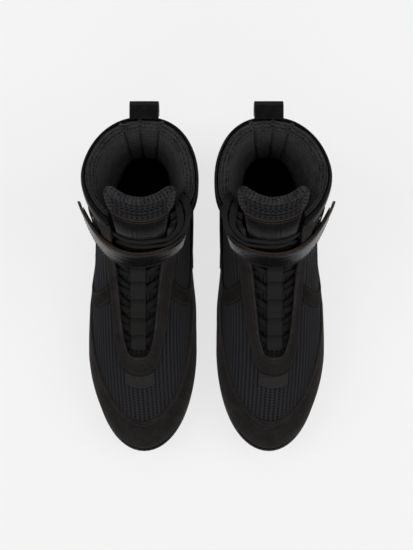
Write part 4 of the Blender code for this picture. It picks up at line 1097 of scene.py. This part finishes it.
# The tongue under the laces, by ring number: half its width, and the offset of its outer face.
TONGUE_LOW_RINGS = (5.6, 12.0)
TONGUE_LOW_HALF = ((5.6, 6.2, 7, 9, 10.5, 11.5, 12.5), (13, 20, 27.5, 32, 32.5, 28, 24))
TONGUE_LOW_OUTER = ((5.6, 6.2, 7.5, 10.5, 12.5), (-5.3, -6, -6.6, -6.4, -2.9))
# The tongue above its bend, by q: offsets of its outer and inner faces.
TONGUE_TOP_OUTER = ((0, 3.9, 4.4, 5), (0, 0, -0.8, -2))
TONGUE_TOP_INNER = ((0, 3.9, 4.4, 5), (-5.2, -5.2, -4.8, -3.6))
TONGUE_RIB = 0.3


def tongue_rib(mm):
    """Height of the knitted ribs across the tongue."""
    return TONGUE_RIB * (0.5 + 0.5 * np.cos(2 * math.pi * mm / RIB_PITCH))


def tongue_under_laces():
    """Top and underside of the tongue from the foot of the throat to its bend."""
    edge = 1 - np.abs(TONGUE_SHARES) ** 4
    v = np.linspace(*TONGUE_LOW_RINGS, 110)
    mm = np.interp(v, *TONGUE_LOW_HALF)[:, None] * TONGUE_SHARES
    grid_v = np.tile(v[:, None], (1, len(TONGUE_SHARES)))
    top = np.interp(v, *TONGUE_LOW_OUTER)[:, None] - 0.8 * (1 - edge)
    u = from_front(mm, grid_v)
    outer = place(u, grid_v, top - TONGUE_RIB + tongue_rib(mm) * edge)
    return outer, place(u, grid_v, top - 1.2 - 3.4 * edge)


def tongue_over_bend(q):
    """Top and underside of the tongue above its bend, rounded off at its two upper corners."""
    edge = 1 - np.abs(TONGUE_SHARES) ** 4
    fade = np.abs(TONGUE_SHARES) ** 6
    outer, inner = smooth(q, *TONGUE_TOP_OUTER), np.interp(q, *TONGUE_TOP_INNER)
    corner = np.clip((q - 4.0) / 1.0, 0, 1)[:, None]
    mm = column(TONGUE_TOP_HALF, q)[:, None] * TONGUE_SHARES * (1 - 0.09 * corner**3)
    grid_q = np.tile(q[:, None], (1, len(TONGUE_SHARES))) - 0.32 * corner**2 * fade
    half = (outer - inner)[:, None] / 2 * (1 - 0.6 * fade)
    middle = (outer + inner)[:, None] / 2
    rib = tongue_rib(mm) * (q[:, None] < 4.0) * edge
    top = tongue_place(mm, grid_q, middle + half - TONGUE_RIB + rib)
    return top, tongue_place(mm, grid_q, middle - half)


def bridged(low, high):
    """Two grids joined by rows that leave the first and reach the second smoothly."""
    at = np.linspace(0, 1, 14)[1:-1, None, None]
    ease = at * at * (3 - 2 * at)
    first = low[-1] + (low[-1] - low[-4]) * 2.2 * at * (1 - at) ** 2
    second = high[0] + (high[0] - high[3]) * 2.2 * at**2 * (1 - at)
    return np.concatenate([low, first * (1 - ease) + second * ease, high])


def tongue(boot):
    """The whole padded tongue in one piece: under the laces, then over its bend to the roll."""
    q = np.linspace(0.55, 5, 90)
    top, under = (bridged(*pair) for pair in zip(tongue_under_laces(), tongue_over_bend(q)))
    run = running(top, 0)[:, TONGUE_CENTRE][:, None]
    across = running(top, 1)
    across = across - across[:, TONGUE_CENTRE][:, None]
    shape = Shape()
    shape.sheet(top, under, np.stack([across, np.broadcast_to(run, across.shape)], -1))
    rows = [float(np.interp(line_q, q, run[-len(q):, 0])) for line_q in PERFORATED]
    made = shape.build(boot, "tongue", tongue_cloth(rows), body=None, replaces=("tongue", "tongue_top"))
    x, y, z = TONGUE_HINGE
    boot.point((x, y, z - 5))
    boot.point((x, y, z + 7))
    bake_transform(made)


ROLL_RADIUS = 3.4
ROLL_LINE = (
    (-0.99, 2.7), (-1, 3.3), (-1, 3.9), (-0.98, 4.3), (-0.9, 4.6), (-0.7, 4.72), (-0.35, 4.72), (0, 4.7),
    (0.35, 4.72), (0.7, 4.72), (0.9, 4.6), (0.98, 4.3), (1, 3.9), (1, 3.3), (0.99, 2.7),
)


def tongue_roll(boot):
    """The soft roll along the tongue's top edge and down its sides, as shares across and q."""
    share, q = rope_line(ROLL_LINE, 10).T
    mm = column(TONGUE_TOP_HALF, q) * share * 0.97
    path = tongue_place(mm, q, -2.4)
    out = tongue_place(mm, q, -1.4) - path
    across = np.cross(unit(np.gradient(path, axis=0)), out)
    length = running(path[:, None], 0)
    ends = np.minimum(length, length[-1] - length)[:, :, None]
    radius = ROLL_RADIUS * np.sqrt(1 - (1 - np.clip(ends / 11, 0, 0.98)) ** 2)
    angles = np.linspace(0, 2 * math.pi, 25)[:-1, None]
    around = np.cos(angles) * out[:, None] + np.sin(angles) * across[:, None]
    lumps = 1 + 0.05 * noise(length[:, :, None] / 5, angles * 1.5, 2.0)
    shape = Shape()
    points = path[:, None] + around * radius * lumps
    shape.add(points, np.stack(np.broadcast_arrays(angles[:, 0] * ROLL_RADIUS, length), -1))
    shape.build(boot, "tongue_roll", TERRY, body="tongue_top")


def tongue_patch(boot, thread_shape):
    """The leather patch on the tongue, with a plain raised border and bars pressed into it."""
    shape = Shape()
    q = 0.4 + shares(24, 0.5) * 2.55
    share = (shares(42, 0.5) - 0.5) * 2
    mm = (column(TONGUE_TOP_HALF, q) - 2.2)[:, None] * share
    grid_q = np.tile(q[:, None], (1, len(share)))
    away = edge_distance(tongue_place(mm, grid_q, 1.5))
    drop = rounded(away, 0.7, 0.9) + pressed(away, 0.2, 1.8, 0.5)
    inside = np.clip((9.5 - np.abs(mm)) / 0.8, 0, 1) * np.clip((0.62 - np.abs(grid_q - 1.5)) / 0.1, 0, 1)
    bars = inside * np.clip(0.5 + 1.2 * np.cos(2 * math.pi * mm / 3.8), 0, 1)
    top = tongue_place(mm, grid_q, 1.5 - drop + 0.35 * bars)
    under = tongue_place(mm, grid_q, 0.1)
    shape.sheet(top, under, np.stack([mm, grid_q * 9], -1), raw_edge(away, 0.45))
    shape.build(boot, "tongue_patch", GLOSS, body="tongue_top", replaces=("tongue_patch",))
    low, high = 0.6, 2.76
    across, up = np.linspace(-1, 1, 60), np.linspace(low, high, 40)
    for share, line_q in ((across, low), (across, high), (-1, up), (1, up)):
        line = share * (column(TONGUE_TOP_HALF, line_q) - 4.2)
        points = tongue_place(line, line_q, 1.35)
        stitch_row(thread_shape, points, tongue_place(line, line_q, 2.35) - points, pitch=2.4, length=1.9)


# ---- tapes and laces -------------------------------------------------------------------------

LACE_WIDTH = 5.6
LACE_THICK = 1.0
CROSSINGS = (6.42, 6.97, 7.53, 8.17, 8.92, 9.75)  # ring numbers of the lace's crossings
LOOP_OUT_MM = 4.6
TURN_RADIUS = 4.0
LACE_EDGE = -3.55
LACE_HIGH = -3.1
LACE_LOW = -4.6
LACE_SLOPE = 0.0085  # rings that a crossing strand climbs for each mm across
# The lace above its crossings, as mm from the front line, ring number and offset: the strand
# from the outer side, the strand from the inner side, and both ends over the collar's edge.
LACE_OUTER_RISE = (
    (26, 10.4, -3), (26.6, 11, -3), (26.4, 11.7, -3), (25, 12.35, -2.9), (20, 12.66, -1.4),
    (13, 12.7, -0.3), (0, 12.68, 0), (-12, 12.68, 0.6), (-19, 12.7, 2), (-25, 12.74, 2.8),
    (-30, 12.95, 2.8), (-34, 13.35, 2.8), (-35.5, 13.8, 2.7),
)
LACE_INNER_RISE = (
    (-25.4, 10.25, -3), (-22, 10.75, -3), (-8, 10.95, LACE_HIGH), (0, 11.03, LACE_HIGH),
    (8, 11.12, -3), (15, 11.35, -2.6), (18.5, 11.7, -2.4), (14, 12.02, -1.6), (7, 12.08, -0.6),
    (0, 12.08, -0.2), (-12, 12.08, 0.6), (-19, 12.1, 2), (-26, 12.14, 2.8), (-33, 12.3, 2.8),
    (-39, 12.7, 2.8), (-42, 13.2, 2.8), (-43, 13.8, 2.7),
)
LACE_OVER_RIM = (
    (14.3, 2.4), (14.78, -0.5), (15, -3.8), (15, -7.1), (14.8, -10.6), (14.3, -12.3),
    (13.5, -12.8), (12.6, -12.5),
)
LACE_END_MM = (-35.5, -43.5)
WEBBING_LOW = -4.85
WEBBING_HIGH = -1.5


def ribbon(shape, path, wide, width, thick, columns=9):
    """A flat band with rounded edges along a path, with its own width direction at each point."""
    run = unit(np.gradient(path, axis=0))
    wide = unit(wide - run * (wide * run).sum(1, keepdims=True))
    thin = np.cross(run, wide)
    s = np.sin(np.linspace(-math.pi / 2, math.pi / 2, columns))
    arch = (1 - np.abs(s) ** 4) ** 0.5 * 0.5
    across = path[:, None] + wide[:, None] * (s * width / 2)[None, :, None]
    lift = thin[:, None] * (arch * thick)[None, :, None]
    length = path_run(path)
    flat = np.stack(np.broadcast_arrays(s * width / 2, length[:, None]), -1)
    shape.sheet(across + lift, across - lift, flat)


def across_slope(mm, v, side):
    """How a step up one ring moves a place: mm along its ring, and mm square to the ring."""
    here = place(from_front(side * mm, v), v, 0)
    up = (place(from_front(side * mm, v + 0.05), v + 0.05, 0) - here) / 0.05
    along = unit(place(from_front(side * (mm + 0.5), v), v, 0) - here)
    slant = float(up @ along)
    return slant, float(np.linalg.norm(up - slant * along))


def lace_arc(v, side, angles):
    """Places round the lace's turn under the throat's edge at ring v, square to the surface."""
    centre = float(column(THROAT, max(v, 6.3))) + LOOP_OUT_MM - TURN_RADIUS
    slant, up = across_slope(centre, v, side)
    rows = []
    for degrees in angles:
        angle = math.radians(degrees)
        step = TURN_RADIUS * math.sin(angle) / up
        across = centre + TURN_RADIUS * math.cos(angle) - step * slant
        rows.append((side * across, v + step, LACE_EDGE))
    return rows


def turn_rings():
    """Ring numbers of the lace's turns between the crossings."""
    return [(a + b) / 2 for a, b in zip(CROSSINGS, CROSSINGS[1:])]


def lace_climb(side):
    """One strand from the foot of the throat up, changing side at each crossing."""
    rows = []
    turns = turn_rings()
    for k, v in enumerate(CROSSINGS):
        height = LACE_HIGH if side > 0 else LACE_LOW
        for mm in (9, 0, -9):
            rows.append((side * mm, v - mm * LACE_SLOPE, height))
        side = -side
        if k < len(turns):
            rows += lace_arc(turns[k], side, (-74, -25, 25, 74))
    return rows, side


def foot_turn(side):
    """The lace from the middle of its lowest bar to the first crossing, on one side."""
    v = CROSSINGS[0] - 0.26
    rows = [(side * 2, v - 0.16, -3.6), (side * 7, v - 0.16, -3.5)]
    return rows + lace_arc(v, side, (-66, -20, 25, 74))


def lace(boot):
    """The whole lace as one flat woven band, along the same places as the CAD lace."""
    climb_a, end_a = lace_climb(-1)
    climb_b, _ = lace_climb(1)
    ends = [[(mm, v, offset) for v, offset in LACE_OVER_RIM] for mm in LACE_END_MM]
    first, second = (climb_a, climb_b) if end_a > 0 else (climb_b, climb_a)
    start_side = np.sign(first[0][0])
    rows = ends[0][::-1] + list(LACE_OUTER_RISE[::-1]) + first[::-1] + foot_turn(start_side)[::-1]
    rows += foot_turn(-start_side) + second + list(LACE_INNER_RISE) + ends[1]
    mm, v, offset = rope_line(rows, 8).T
    u = from_front(mm, v)
    path = place(u, v, offset)
    out = place(u, v, offset + 1) - path
    wide = unit(np.cross(out, np.gradient(path, axis=0)))
    around = unit(place(u + 0.002, v, offset) - path)
    over_rim = np.clip((v - 13.6) / 0.3, 0, 1)
    over_rim = np.where(offset < -10.5, 1, over_rim)[:, None]
    around *= np.sign((around * wide).sum(1, keepdims=True) + 1e-9)
    wide = wide * (1 - over_rim) + around * over_rim
    for k in range(1, len(wide)):
        if wide[k] @ wide[k - 1] < 0:
            wide[k] *= -1
    shape = Shape()
    ribbon(shape, path, wide, LACE_WIDTH, LACE_THICK)
    shape.build(boot, "lace", LACE, replaces=("lace",))


def tongue_webbing(boot):
    """The tape up the tongue's middle, lifted into a loop over each lace crossing."""
    keys = []
    for k, v in enumerate(CROSSINGS[:-1]):
        before = CROSSINGS[k - 1] if k else v - 0.34
        after = CROSSINGS[k + 1]
        keys.append(((before + v) / 2, WEBBING_LOW))
        keys.append((v - 0.34 * (v - before), WEBBING_HIGH - 0.3))
        keys.append((v, WEBBING_HIGH))
        keys.append((v + 0.34 * (after - v), WEBBING_HIGH - 0.3))
    keys.append(((CROSSINGS[-2] + CROSSINGS[-1]) / 2, WEBBING_LOW))
    v, offset = rope_line(keys, 8).T
    path = place(0 * v, v, offset)
    shape = Shape()
    ribbon(shape, path, np.tile((1.0, 0, 0), (len(v), 1)), 13.8, 1.0, 15)
    shape.build(boot, "tongue_webbing", TAPE, replaces=("tongue_webbing",))


# A lace loop's outline: mm past the throat's edge, and offset.
LOOP_SECTION = (
    (0.5, -2.3), (4.5, -2.15), (8.3, -2.3), (8.6, -3.5), (8.3, -4.8), (4.5, -4.95), (0.6, -4.8), (0.2, -3.6),
)


def lace_loops(boot, part, side):
    """A tape under the throat's edge with a small loop round each of the lace's turns."""
    shape = Shape()
    v = np.linspace(5.98, 10.0, 60)
    mm = column(THROAT, np.maximum(v, 6.3)) + 8.5
    path = place(from_front(side * mm, v), v, -2.3)
    wide = place(from_front(side * (mm + 1), v), v, -2.3) - path
    ribbon(shape, path, wide, 3.0, 0.7)
    for turn in [CROSSINGS[0] - 0.26, *turn_rings()]:
        edge = float(column(THROAT, max(turn, 6.3)))
        keys = rope_line([*LOOP_SECTION, LOOP_SECTION[0]], 5)
        mm = side * (edge + keys[:, 0])
        path = place(from_front(mm, turn), turn, keys[:, 1])
        wide = place(from_front(mm, turn + 0.05), turn + 0.05, keys[:, 1]) - path
        ribbon(shape, path, wide, 4.4, 0.6, 7)
    shape.build(boot, part, TAPE, replaces=(part,))


# ---- strap, pads and pull tab ----------------------------------------------------------------

STRAP_RINGS = (9.9, 11.75)
STRAP_MIDDLE = sum(STRAP_RINGS) / 2
STRAP_HALF = (STRAP_RINGS[1] - STRAP_RINGS[0]) / 2
STRAP_THICK = 2.2
STRAP_ROOT_MM = 42
STRAP_TIP_MM = 68
STRAP_POINT_MM = 20
STRAP_EDGE = 0.6  # how much of the strap's raw edge shows brown
PAD_LENGTH = 22
HOOK_THICK = 0.9


def strap_offset(mm):
    """Height of the strap's inner face over the upper: more where the pads lie under it."""
    return smooth(mm, (-45, -30, 30, 44, 54, 68), (1.8, 2.6, 2.8, 3.2, 4.4, 8.4))


def strap_narrow(mm):
    """The strap's share of its full width at a place along it, less towards its point."""
    point = np.clip((STRAP_TIP_MM - mm) / STRAP_POINT_MM, 0, 1)
    return 0.12 + 0.88 * np.sqrt(1 - (1 - point) ** 2)


def strap_grid(start, end, step, inset=0.0):
    """Columns along the strap and rows across it, narrowing to the pointed end."""
    mm = start + shares(end - start, step) * (end - start)
    share = (shares(30, 1.0)[:, None] - 0.5) * 2
    v = STRAP_MIDDLE + share * (STRAP_HALF - inset) * strap_narrow(mm)
    return np.tile(mm, (len(share), 1)), v


def strap_bend(boot, thing):
    """Works out two places on the strap's middle, at its sewn end and 10 mm along it, and bakes a piece's
    transform into its mesh.
    """
    height = float(strap_offset(-STRAP_ROOT_MM)) + 1
    for mm in (-STRAP_ROOT_MM, 10 - STRAP_ROOT_MM):
        boot.point(place(from_front(mm, STRAP_MIDDLE), STRAP_MIDDLE, height))
    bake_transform(thing)


def strap(boot):
    """The glossy ankle strap, stitched round its edge, pressed with a plain inner border."""
    shape = Shape()
    mm, v = strap_grid(-STRAP_ROOT_MM, STRAP_TIP_MM, 1.2)
    u = from_front(mm, v)
    base = strap_offset(mm)
    away = edge_distance(place(u, v, base + STRAP_THICK))
    drop = rounded(away, 0.8, 1.1) + pressed(away, 0.25, 2.2, 0.6)
    puff = 0.35 * np.clip((away - 3) / 4, 0, 1) + 0.12 * noise(mm / 9, v * 6, 4.0)
    top = place(u, v, base + STRAP_THICK - drop + puff)
    flat = np.stack([mm, rise(u, v)], -1)
    shape.sheet(top, place(u, v, base), flat, STRAP_EDGE * raw_edge(away, 0.4))
    strap_bend(boot, shape.build(boot, "strap", GLOSS, body=None, replaces=("strap",)))
    stitches = Shape()
    line = np.linspace(-STRAP_ROOT_MM + 3, STRAP_TIP_MM - 9, 160)
    for row in (-1, 1):
        line_v = STRAP_MIDDLE + row * (STRAP_HALF * strap_narrow(line) - 0.13)
        stitch_line(stitches, from_front(line, line_v), line_v, strap_offset(line) + STRAP_THICK - 0.1)
    strap_bend(boot, stitches.build(boot, "strap_stitching", THREAD, body=None))


def strap_pads(boot):
    """The two halves of the strap's fastening."""
    mm, v = strap_grid(STRAP_TIP_MM - 6 - PAD_LENGTH, STRAP_TIP_MM - 7, 1.0, 0.18)
    u = from_front(mm, v)
    under_strap = strap_offset(mm) - 0.3
    nub = 0.12 * np.cos(mm * 2 * math.pi / 1.8) * np.cos(rise(u, v) * 2 * math.pi / 1.8)
    hooks_under = under_strap - HOOK_THICK
    overlay(boot, "hook_pad", HOOKS, u, v, hooks_under, under_strap, body="strap", relief=nub, round_mm=0.4)
    overlay(boot, "loop_pad", LOOP_FELT, u, v, 0.3, 1.6, round_mm=0.4)


TAB_HINGE = (50.2, 143.4, 177.6)
TAB_HALF_WIDTH = 11.8
TAB_THICK = 1.6
TAB_OUTLINE = (
    (0, 0), (6.2, 2.2), (9.4, 6.5), (10.4, 11), (8.6, 14.8), (3.4, 16), (-3.6, 15.9), (-4.2, 13.9),
    (-0.6, 9.6), (0, 4.6),
)


def pull_tab(boot):
    """A folded leather loop standing back from the collar, with soft edges."""
    shape = Shape()
    keys = np.array(TAB_OUTLINE) + (TAB_HINGE[1] + 0.4, TAB_HINGE[2] + 0.1)
    closed = rope_line([keys[-1], *keys, keys[0], keys[1]], 10)[10:-11]
    ahead = unit(np.roll(closed, -1, 0) - np.roll(closed, 1, 0))
    outwards = np.stack([ahead[:, 1], -ahead[:, 0]], 1)
    if ((closed - closed.mean(0)) * outwards).sum() < 0:
        outwards = -outwards
    s = (shares(2 * TAB_HALF_WIDTH, 1.4) - 0.5) * 2
    away = (1 - np.abs(s)) * TAB_HALF_WIDTH
    drop = rounded(away, 0.55, 0.9) + pressed(away, 0.2, 2.0, 0.5)
    x = TAB_HINGE[0] + s * TAB_HALF_WIDTH

    def face(depth):
        flat_ring = closed[:, None, :] - outwards[:, None, :] * depth[None, :, None]
        return np.concatenate([np.broadcast_to(x[None, :, None], (*flat_ring.shape[:2], 1)), flat_ring], 2)

    outer, inner = face(drop), face(TAB_THICK - drop * 0.6)
    around = np.concatenate([outer, inner[:, ::-1]], 1)
    around = np.concatenate([around, around[:1]])
    edge = raw_edge(away, 0.45)
    edges = np.concatenate([edge, edge[::-1]])
    run = running(around, 0)
    flat = np.stack([np.broadcast_to(np.concatenate([x, x[::-1]]), run.shape), run], -1)
    shape.add(around, flat, np.broadcast_to(edges, run.shape), caps=False)
    shape.build(boot, "pull_tab", GLOSS, body="pull_tab", replaces=("pull_tab",))


# ---- the sole --------------------------------------------------------------------------------

SOLE_FLOOR = 4.0
TREAD_ROWS = (*range(-84, 6, 14), *range(84, 128, 14))
TREAD_HALF = 1.3
TREAD_DEPTH = 1.3
FILL_COLUMNS = (-1, -0.82, -0.8, -0.78, -0.5, -0.2, 0, 0.2, 0.5, 0.78, 0.8, 0.82, 1)
GROOVE_STEPS = (-1.35, -1.25, -1.0, -0.9, 0.9, 1.0, 1.25, 1.35)  # mm from a groove's middle
# The footbed's section: mm inside the upper, and height.
FOOTBED_SECTION = ((7.2, 9.2), (7.2, 12.0), (7.5, 12.9), (8.2, 13.3), (9.5, 13.0), (12, 12.7), (20, 12.6))


def foot_loop(count=160):
    """u of places all round the foot, mirrored about the front and back lines."""
    half = np.linspace(0, 1, count // 2 + 1)[1:-1]
    return np.array([-1.0, *(-half[::-1]), 0.0, *half])


def tread(grid):
    """Height of the sole's underside: flat, with grooves across it that stop short of its edge."""
    y = grid[..., 1]
    across = np.abs(np.linspace(-1, 1, grid.shape[1]))[None, :]
    groove = np.zeros_like(y)
    for row in TREAD_ROWS:
        groove = np.maximum(groove, np.clip((TREAD_HALF - np.abs(y - row)) / 0.35, 0, 1))
    inside = np.clip((0.8 - across) / 0.02, 0, 1)
    return spring(y) + TREAD_DEPTH * groove * inside


def ground_loop(u, offset, height):
    """A loop round the foot at a height above the ground, following the toe's lift."""
    loop = place(u, 0, offset)
    loop[:, 2] = height + spring(loop[:, 1])
    return loop


def outsole(boot):
    """The cupped rubber sole: dense walls, a toe bumper, and a tread with real grooves."""
    u = foot_loop()
    toe = np.clip(1 - np.abs(u) / 0.34, 0, 1)
    rim = 0.75 + 0.95 * toe**0.8
    under, floor_loop = ground_loop(u, 0.5, 0), ground_loop(u, 2.1, SOLE_FLOOR)
    walls = []
    for share in np.linspace(0, 1, 7):
        walls.append(place(u, 0.2 + share * (rim - 0.3), 4.4 + 0.25 * math.sin(math.pi * share)))
    lip = [(rim - 0.04, 4.45), (rim, 3.9), (rim + 0.01, 3.1), (rim, 2.3), (rim / 2, 2.2)]
    loops = [under, ground_loop(u, 2.6, 0.25), ground_loop(u, 3.6, 1.2), *walls]
    loops += [place(u, v, offset) for v, offset in lip] + [floor_loop]
    points = np.array(loops)
    shape = Shape()
    shape.add(points, np.stack([running(points, 1), running(points, 0)], -1), caps=False)
    open_grid(shape, fill_rows(under, tread), -1)
    open_grid(shape, fill_rows(floor_loop, lambda grid: SOLE_FLOOR + spring(grid[..., 1])), 1)
    shape.build(boot, "outsole", RUBBER, replaces=("outsole",))


def fill_rows(loop, z_of):
    """Rows across the foot inside a loop, closer together at the walls of the tread's grooves."""
    count = len(loop)
    inner = loop[: count // 2 + 1]
    outer = np.array([loop[(count - i) % count] for i in range(count // 2 + 1)])
    order = np.argsort(inner[:, 1])
    even = [np.linspace(inner[:, 1].min() + 0.01, inner[:, 1].max() - 0.01, 120)]
    for row in TREAD_ROWS:
        even.append(np.array(GROOVE_STEPS) + row)
    y = np.sort(np.concatenate(even))
    x_inner = np.interp(y, inner[order, 1], inner[order, 0])
    order_out = np.argsort(outer[:, 1])
    x_outer = np.interp(y, outer[order_out, 1], outer[order_out, 0])
    share = (np.array(FILL_COLUMNS)[None, :] + 1) / 2
    x = x_inner[:, None] * (1 - share) + x_outer[:, None] * share
    grid = np.stack([x, np.broadcast_to(y[:, None], x.shape), np.zeros_like(x)], -1)
    grid[..., 2] = z_of(grid)
    return grid


def open_grid(shape, grid, facing):
    """An open grid that faces up (1) or down (-1)."""
    rows, columns = grid.shape[:2]
    quads = grid_quads(rows, columns)
    points = grid.reshape(-1, 3)
    a, b, c = (points[quads[0, k]] for k in range(3))
    if np.cross(b - a, c - a)[2] * facing < 0:
        quads = quads[:, ::-1]
    shape.points.append(points)
    shape.quads.append(quads + shape.count)
    shape.flat.append(points[:, :2])
    shape.edge.append(np.zeros(len(points)))
    shape.count += len(points)


def footbed(boot):
    """The cupped footbed under the foot, its rim raised."""
    shape = Shape()
    u = foot_loop()
    loops = []
    for inset, height in FOOTBED_SECTION:
        loop = place(u, 1.1, -inset)
        loop[:, 2] = height + spring(loop[:, 1])
        loops.append(loop)
    points = np.array(loops)
    shape.add(points, np.stack([running(points, 1), running(points, 0)], -1), caps=False)
    for end, facing in ((-1, 1), (0, -1)):
        height = FOOTBED_SECTION[end][1]
        grid = fill_rows(loops[end], lambda grid, height=height: height + spring(grid[..., 1]))
        open_grid(shape, grid, facing)
    made = shape.build(boot, "footbed", KNIT, replaces=("footbed",))


# ---- hidden CAD pieces keep their shape and get their material --------------------------------

HIDDEN = {
    "midsole": FOAM, "insole_board": BOARD, "toe_puff": STIFFENER, "heel_counter": STIFFENER,
    "vamp_lining": KNIT,
}


def paint_hidden(boot):
    """Gives each hidden CAD piece its material."""
    for node, paint in HIDDEN.items():
        frame["nodes"][f"{boot.name}_{node}"].material_slots[0].material = paint


def seam_stitches(thread_shape):
    """The sewn lines that belong to no overlay: the vamp's seam under the throat."""
    u = np.linspace(0.14, 0.5, 90)
    for side in (-1, 1):
        v = column(SEAM, u)
        stitch_line(thread_shape, side * u, v - 0.06, 0.1)


def dress(name, side):
    """Makes every visible piece of one boot."""
    boot = Boot(name, side)
    sewn = Shape()
    vamp(boot)
    quarter(boot, "quarter_lateral", 1)
    quarter(boot, "quarter_medial", -1)
    toe_guard(boot, sewn)
    heel_cover(boot, sewn)
    eyestay(boot, sewn)
    throat_binding(boot)
    side_band(boot, "side_band_lateral", 1, sewn)
    side_band(boot, "side_band_medial", -1, sewn)
    vamp_tab(boot, sewn)
    back_strip(boot, sewn)
    seam_stitches(sewn)
    sewn.build(boot, "stitching", THREAD)
    collar_binding(boot)
    collar_lining(boot)
    tongue(boot)
    tongue_roll(boot)
    patch_thread = Shape()
    tongue_patch(boot, patch_thread)
    patch_thread.build(boot, "patch_stitching", THREAD, body="tongue_top")
    tongue_webbing(boot)
    lace(boot)
    lace_loops(boot, "lace_loops_lateral", 1)
    lace_loops(boot, "lace_loops_medial", -1)
    strap(boot)
    strap_pads(boot)
    pull_tab(boot)
    outsole(boot)
    footbed(boot)
    paint_hidden(boot)


dress("left", 1)
dress("right", -1)

# ---- floor, light and camera -----------------------------------------------------------------

FLOOR_REACH = 6.0
FLOOR_GLOW = 0.715
GLOW_REACH = (0.4, 0.9)  # metres from the pair: the floor is bright up to here, dim from there
LAMP_AIM = (0, 0, 0.08)
LAMPS = (  # name, place, size in metres, watts
    ("left_box", (-1.5, 0.1, 1.5), (1.6, 1.6), 21),
    ("right_box", (1.5, 0.1, 1.5), (1.6, 1.6), 21),
    ("toe_box", (0, -1.7, 1.3), (2.0, 0.9), 10),
    ("heel_box", (0, 1.7, 1.5), (2.0, 0.9), 9),
)


def floor():
    """A plain pale floor, glowing near the pair so that it stays even."""
    mesh = bpy.data.meshes.new("floor")
    corners = [(x * FLOOR_REACH, y * FLOOR_REACH, 0) for x, y in ((-1, -1), (1, -1), (1, 1), (-1, 1))]
    mesh.from_pydata(corners, [], [(0, 1, 2, 3)])
    thing = bpy.data.objects.new("floor", mesh)
    thing.location = (0, 0, -0.0002)
    bpy.context.scene.collection.objects.link(thing)
    paint = Paint("floor", Roughness=0.9, Specular_IOR_Level=0.0, Emission_Strength=FLOOR_GLOW)
    paint.shader.inputs["Base Color"].default_value = (0.2, 0.2, 0.2, 1)
    away = paint.node("VectorMath", {0: paint.object_place()}, operation="LENGTH").outputs["Value"]
    glow = paint.mix(paint.range(away, *GLOW_REACH), (1, 1, 1), (0.3, 0.3, 0.3))
    paint.tree.links.new(glow, paint.shader.inputs["Emission Color"])
    mesh.materials.append(paint.material)


def lamp(name, place_at, size, power):
    """A soft rectangular light aimed at the boots."""
    light = bpy.data.lights.new(name, "AREA")
    light.shape = "RECTANGLE"
    light.size, light.size_y = size
    light.energy = power
    thing = bpy.data.objects.new(name, light)
    thing.location = place_at
    direction = np.array(LAMP_AIM) - np.array(place_at)
    pitch = math.acos(-direction[2] / np.linalg.norm(direction))
    thing.rotation_euler = (pitch, 0, math.atan2(-direction[0], direction[1]))
    bpy.context.scene.collection.objects.link(thing)


def camera():
    """Straight above the pair, with the toes towards the bottom of the frame."""
    data = bpy.data.cameras.new("camera")
    data.lens = 71.6
    data.sensor_width = 36
    thing = bpy.data.objects.new("camera", data)
    thing.location = (0, 0.0137, 1.072)
    bpy.context.scene.collection.objects.link(thing)
    bpy.context.scene.camera = thing


def world():
    """Even white light from all round."""
    made = bpy.data.worlds.new("studio")
    made.use_nodes = True
    back = made.node_tree.nodes["Background"]
    back.inputs["Color"].default_value = (1, 1, 1, 1)
    back.inputs["Strength"].default_value = 0.2
    bpy.context.scene.world = made


floor()
for settings in LAMPS:
    lamp(*settings)
world()
camera()
bpy.context.scene.view_settings.view_transform = "Standard"
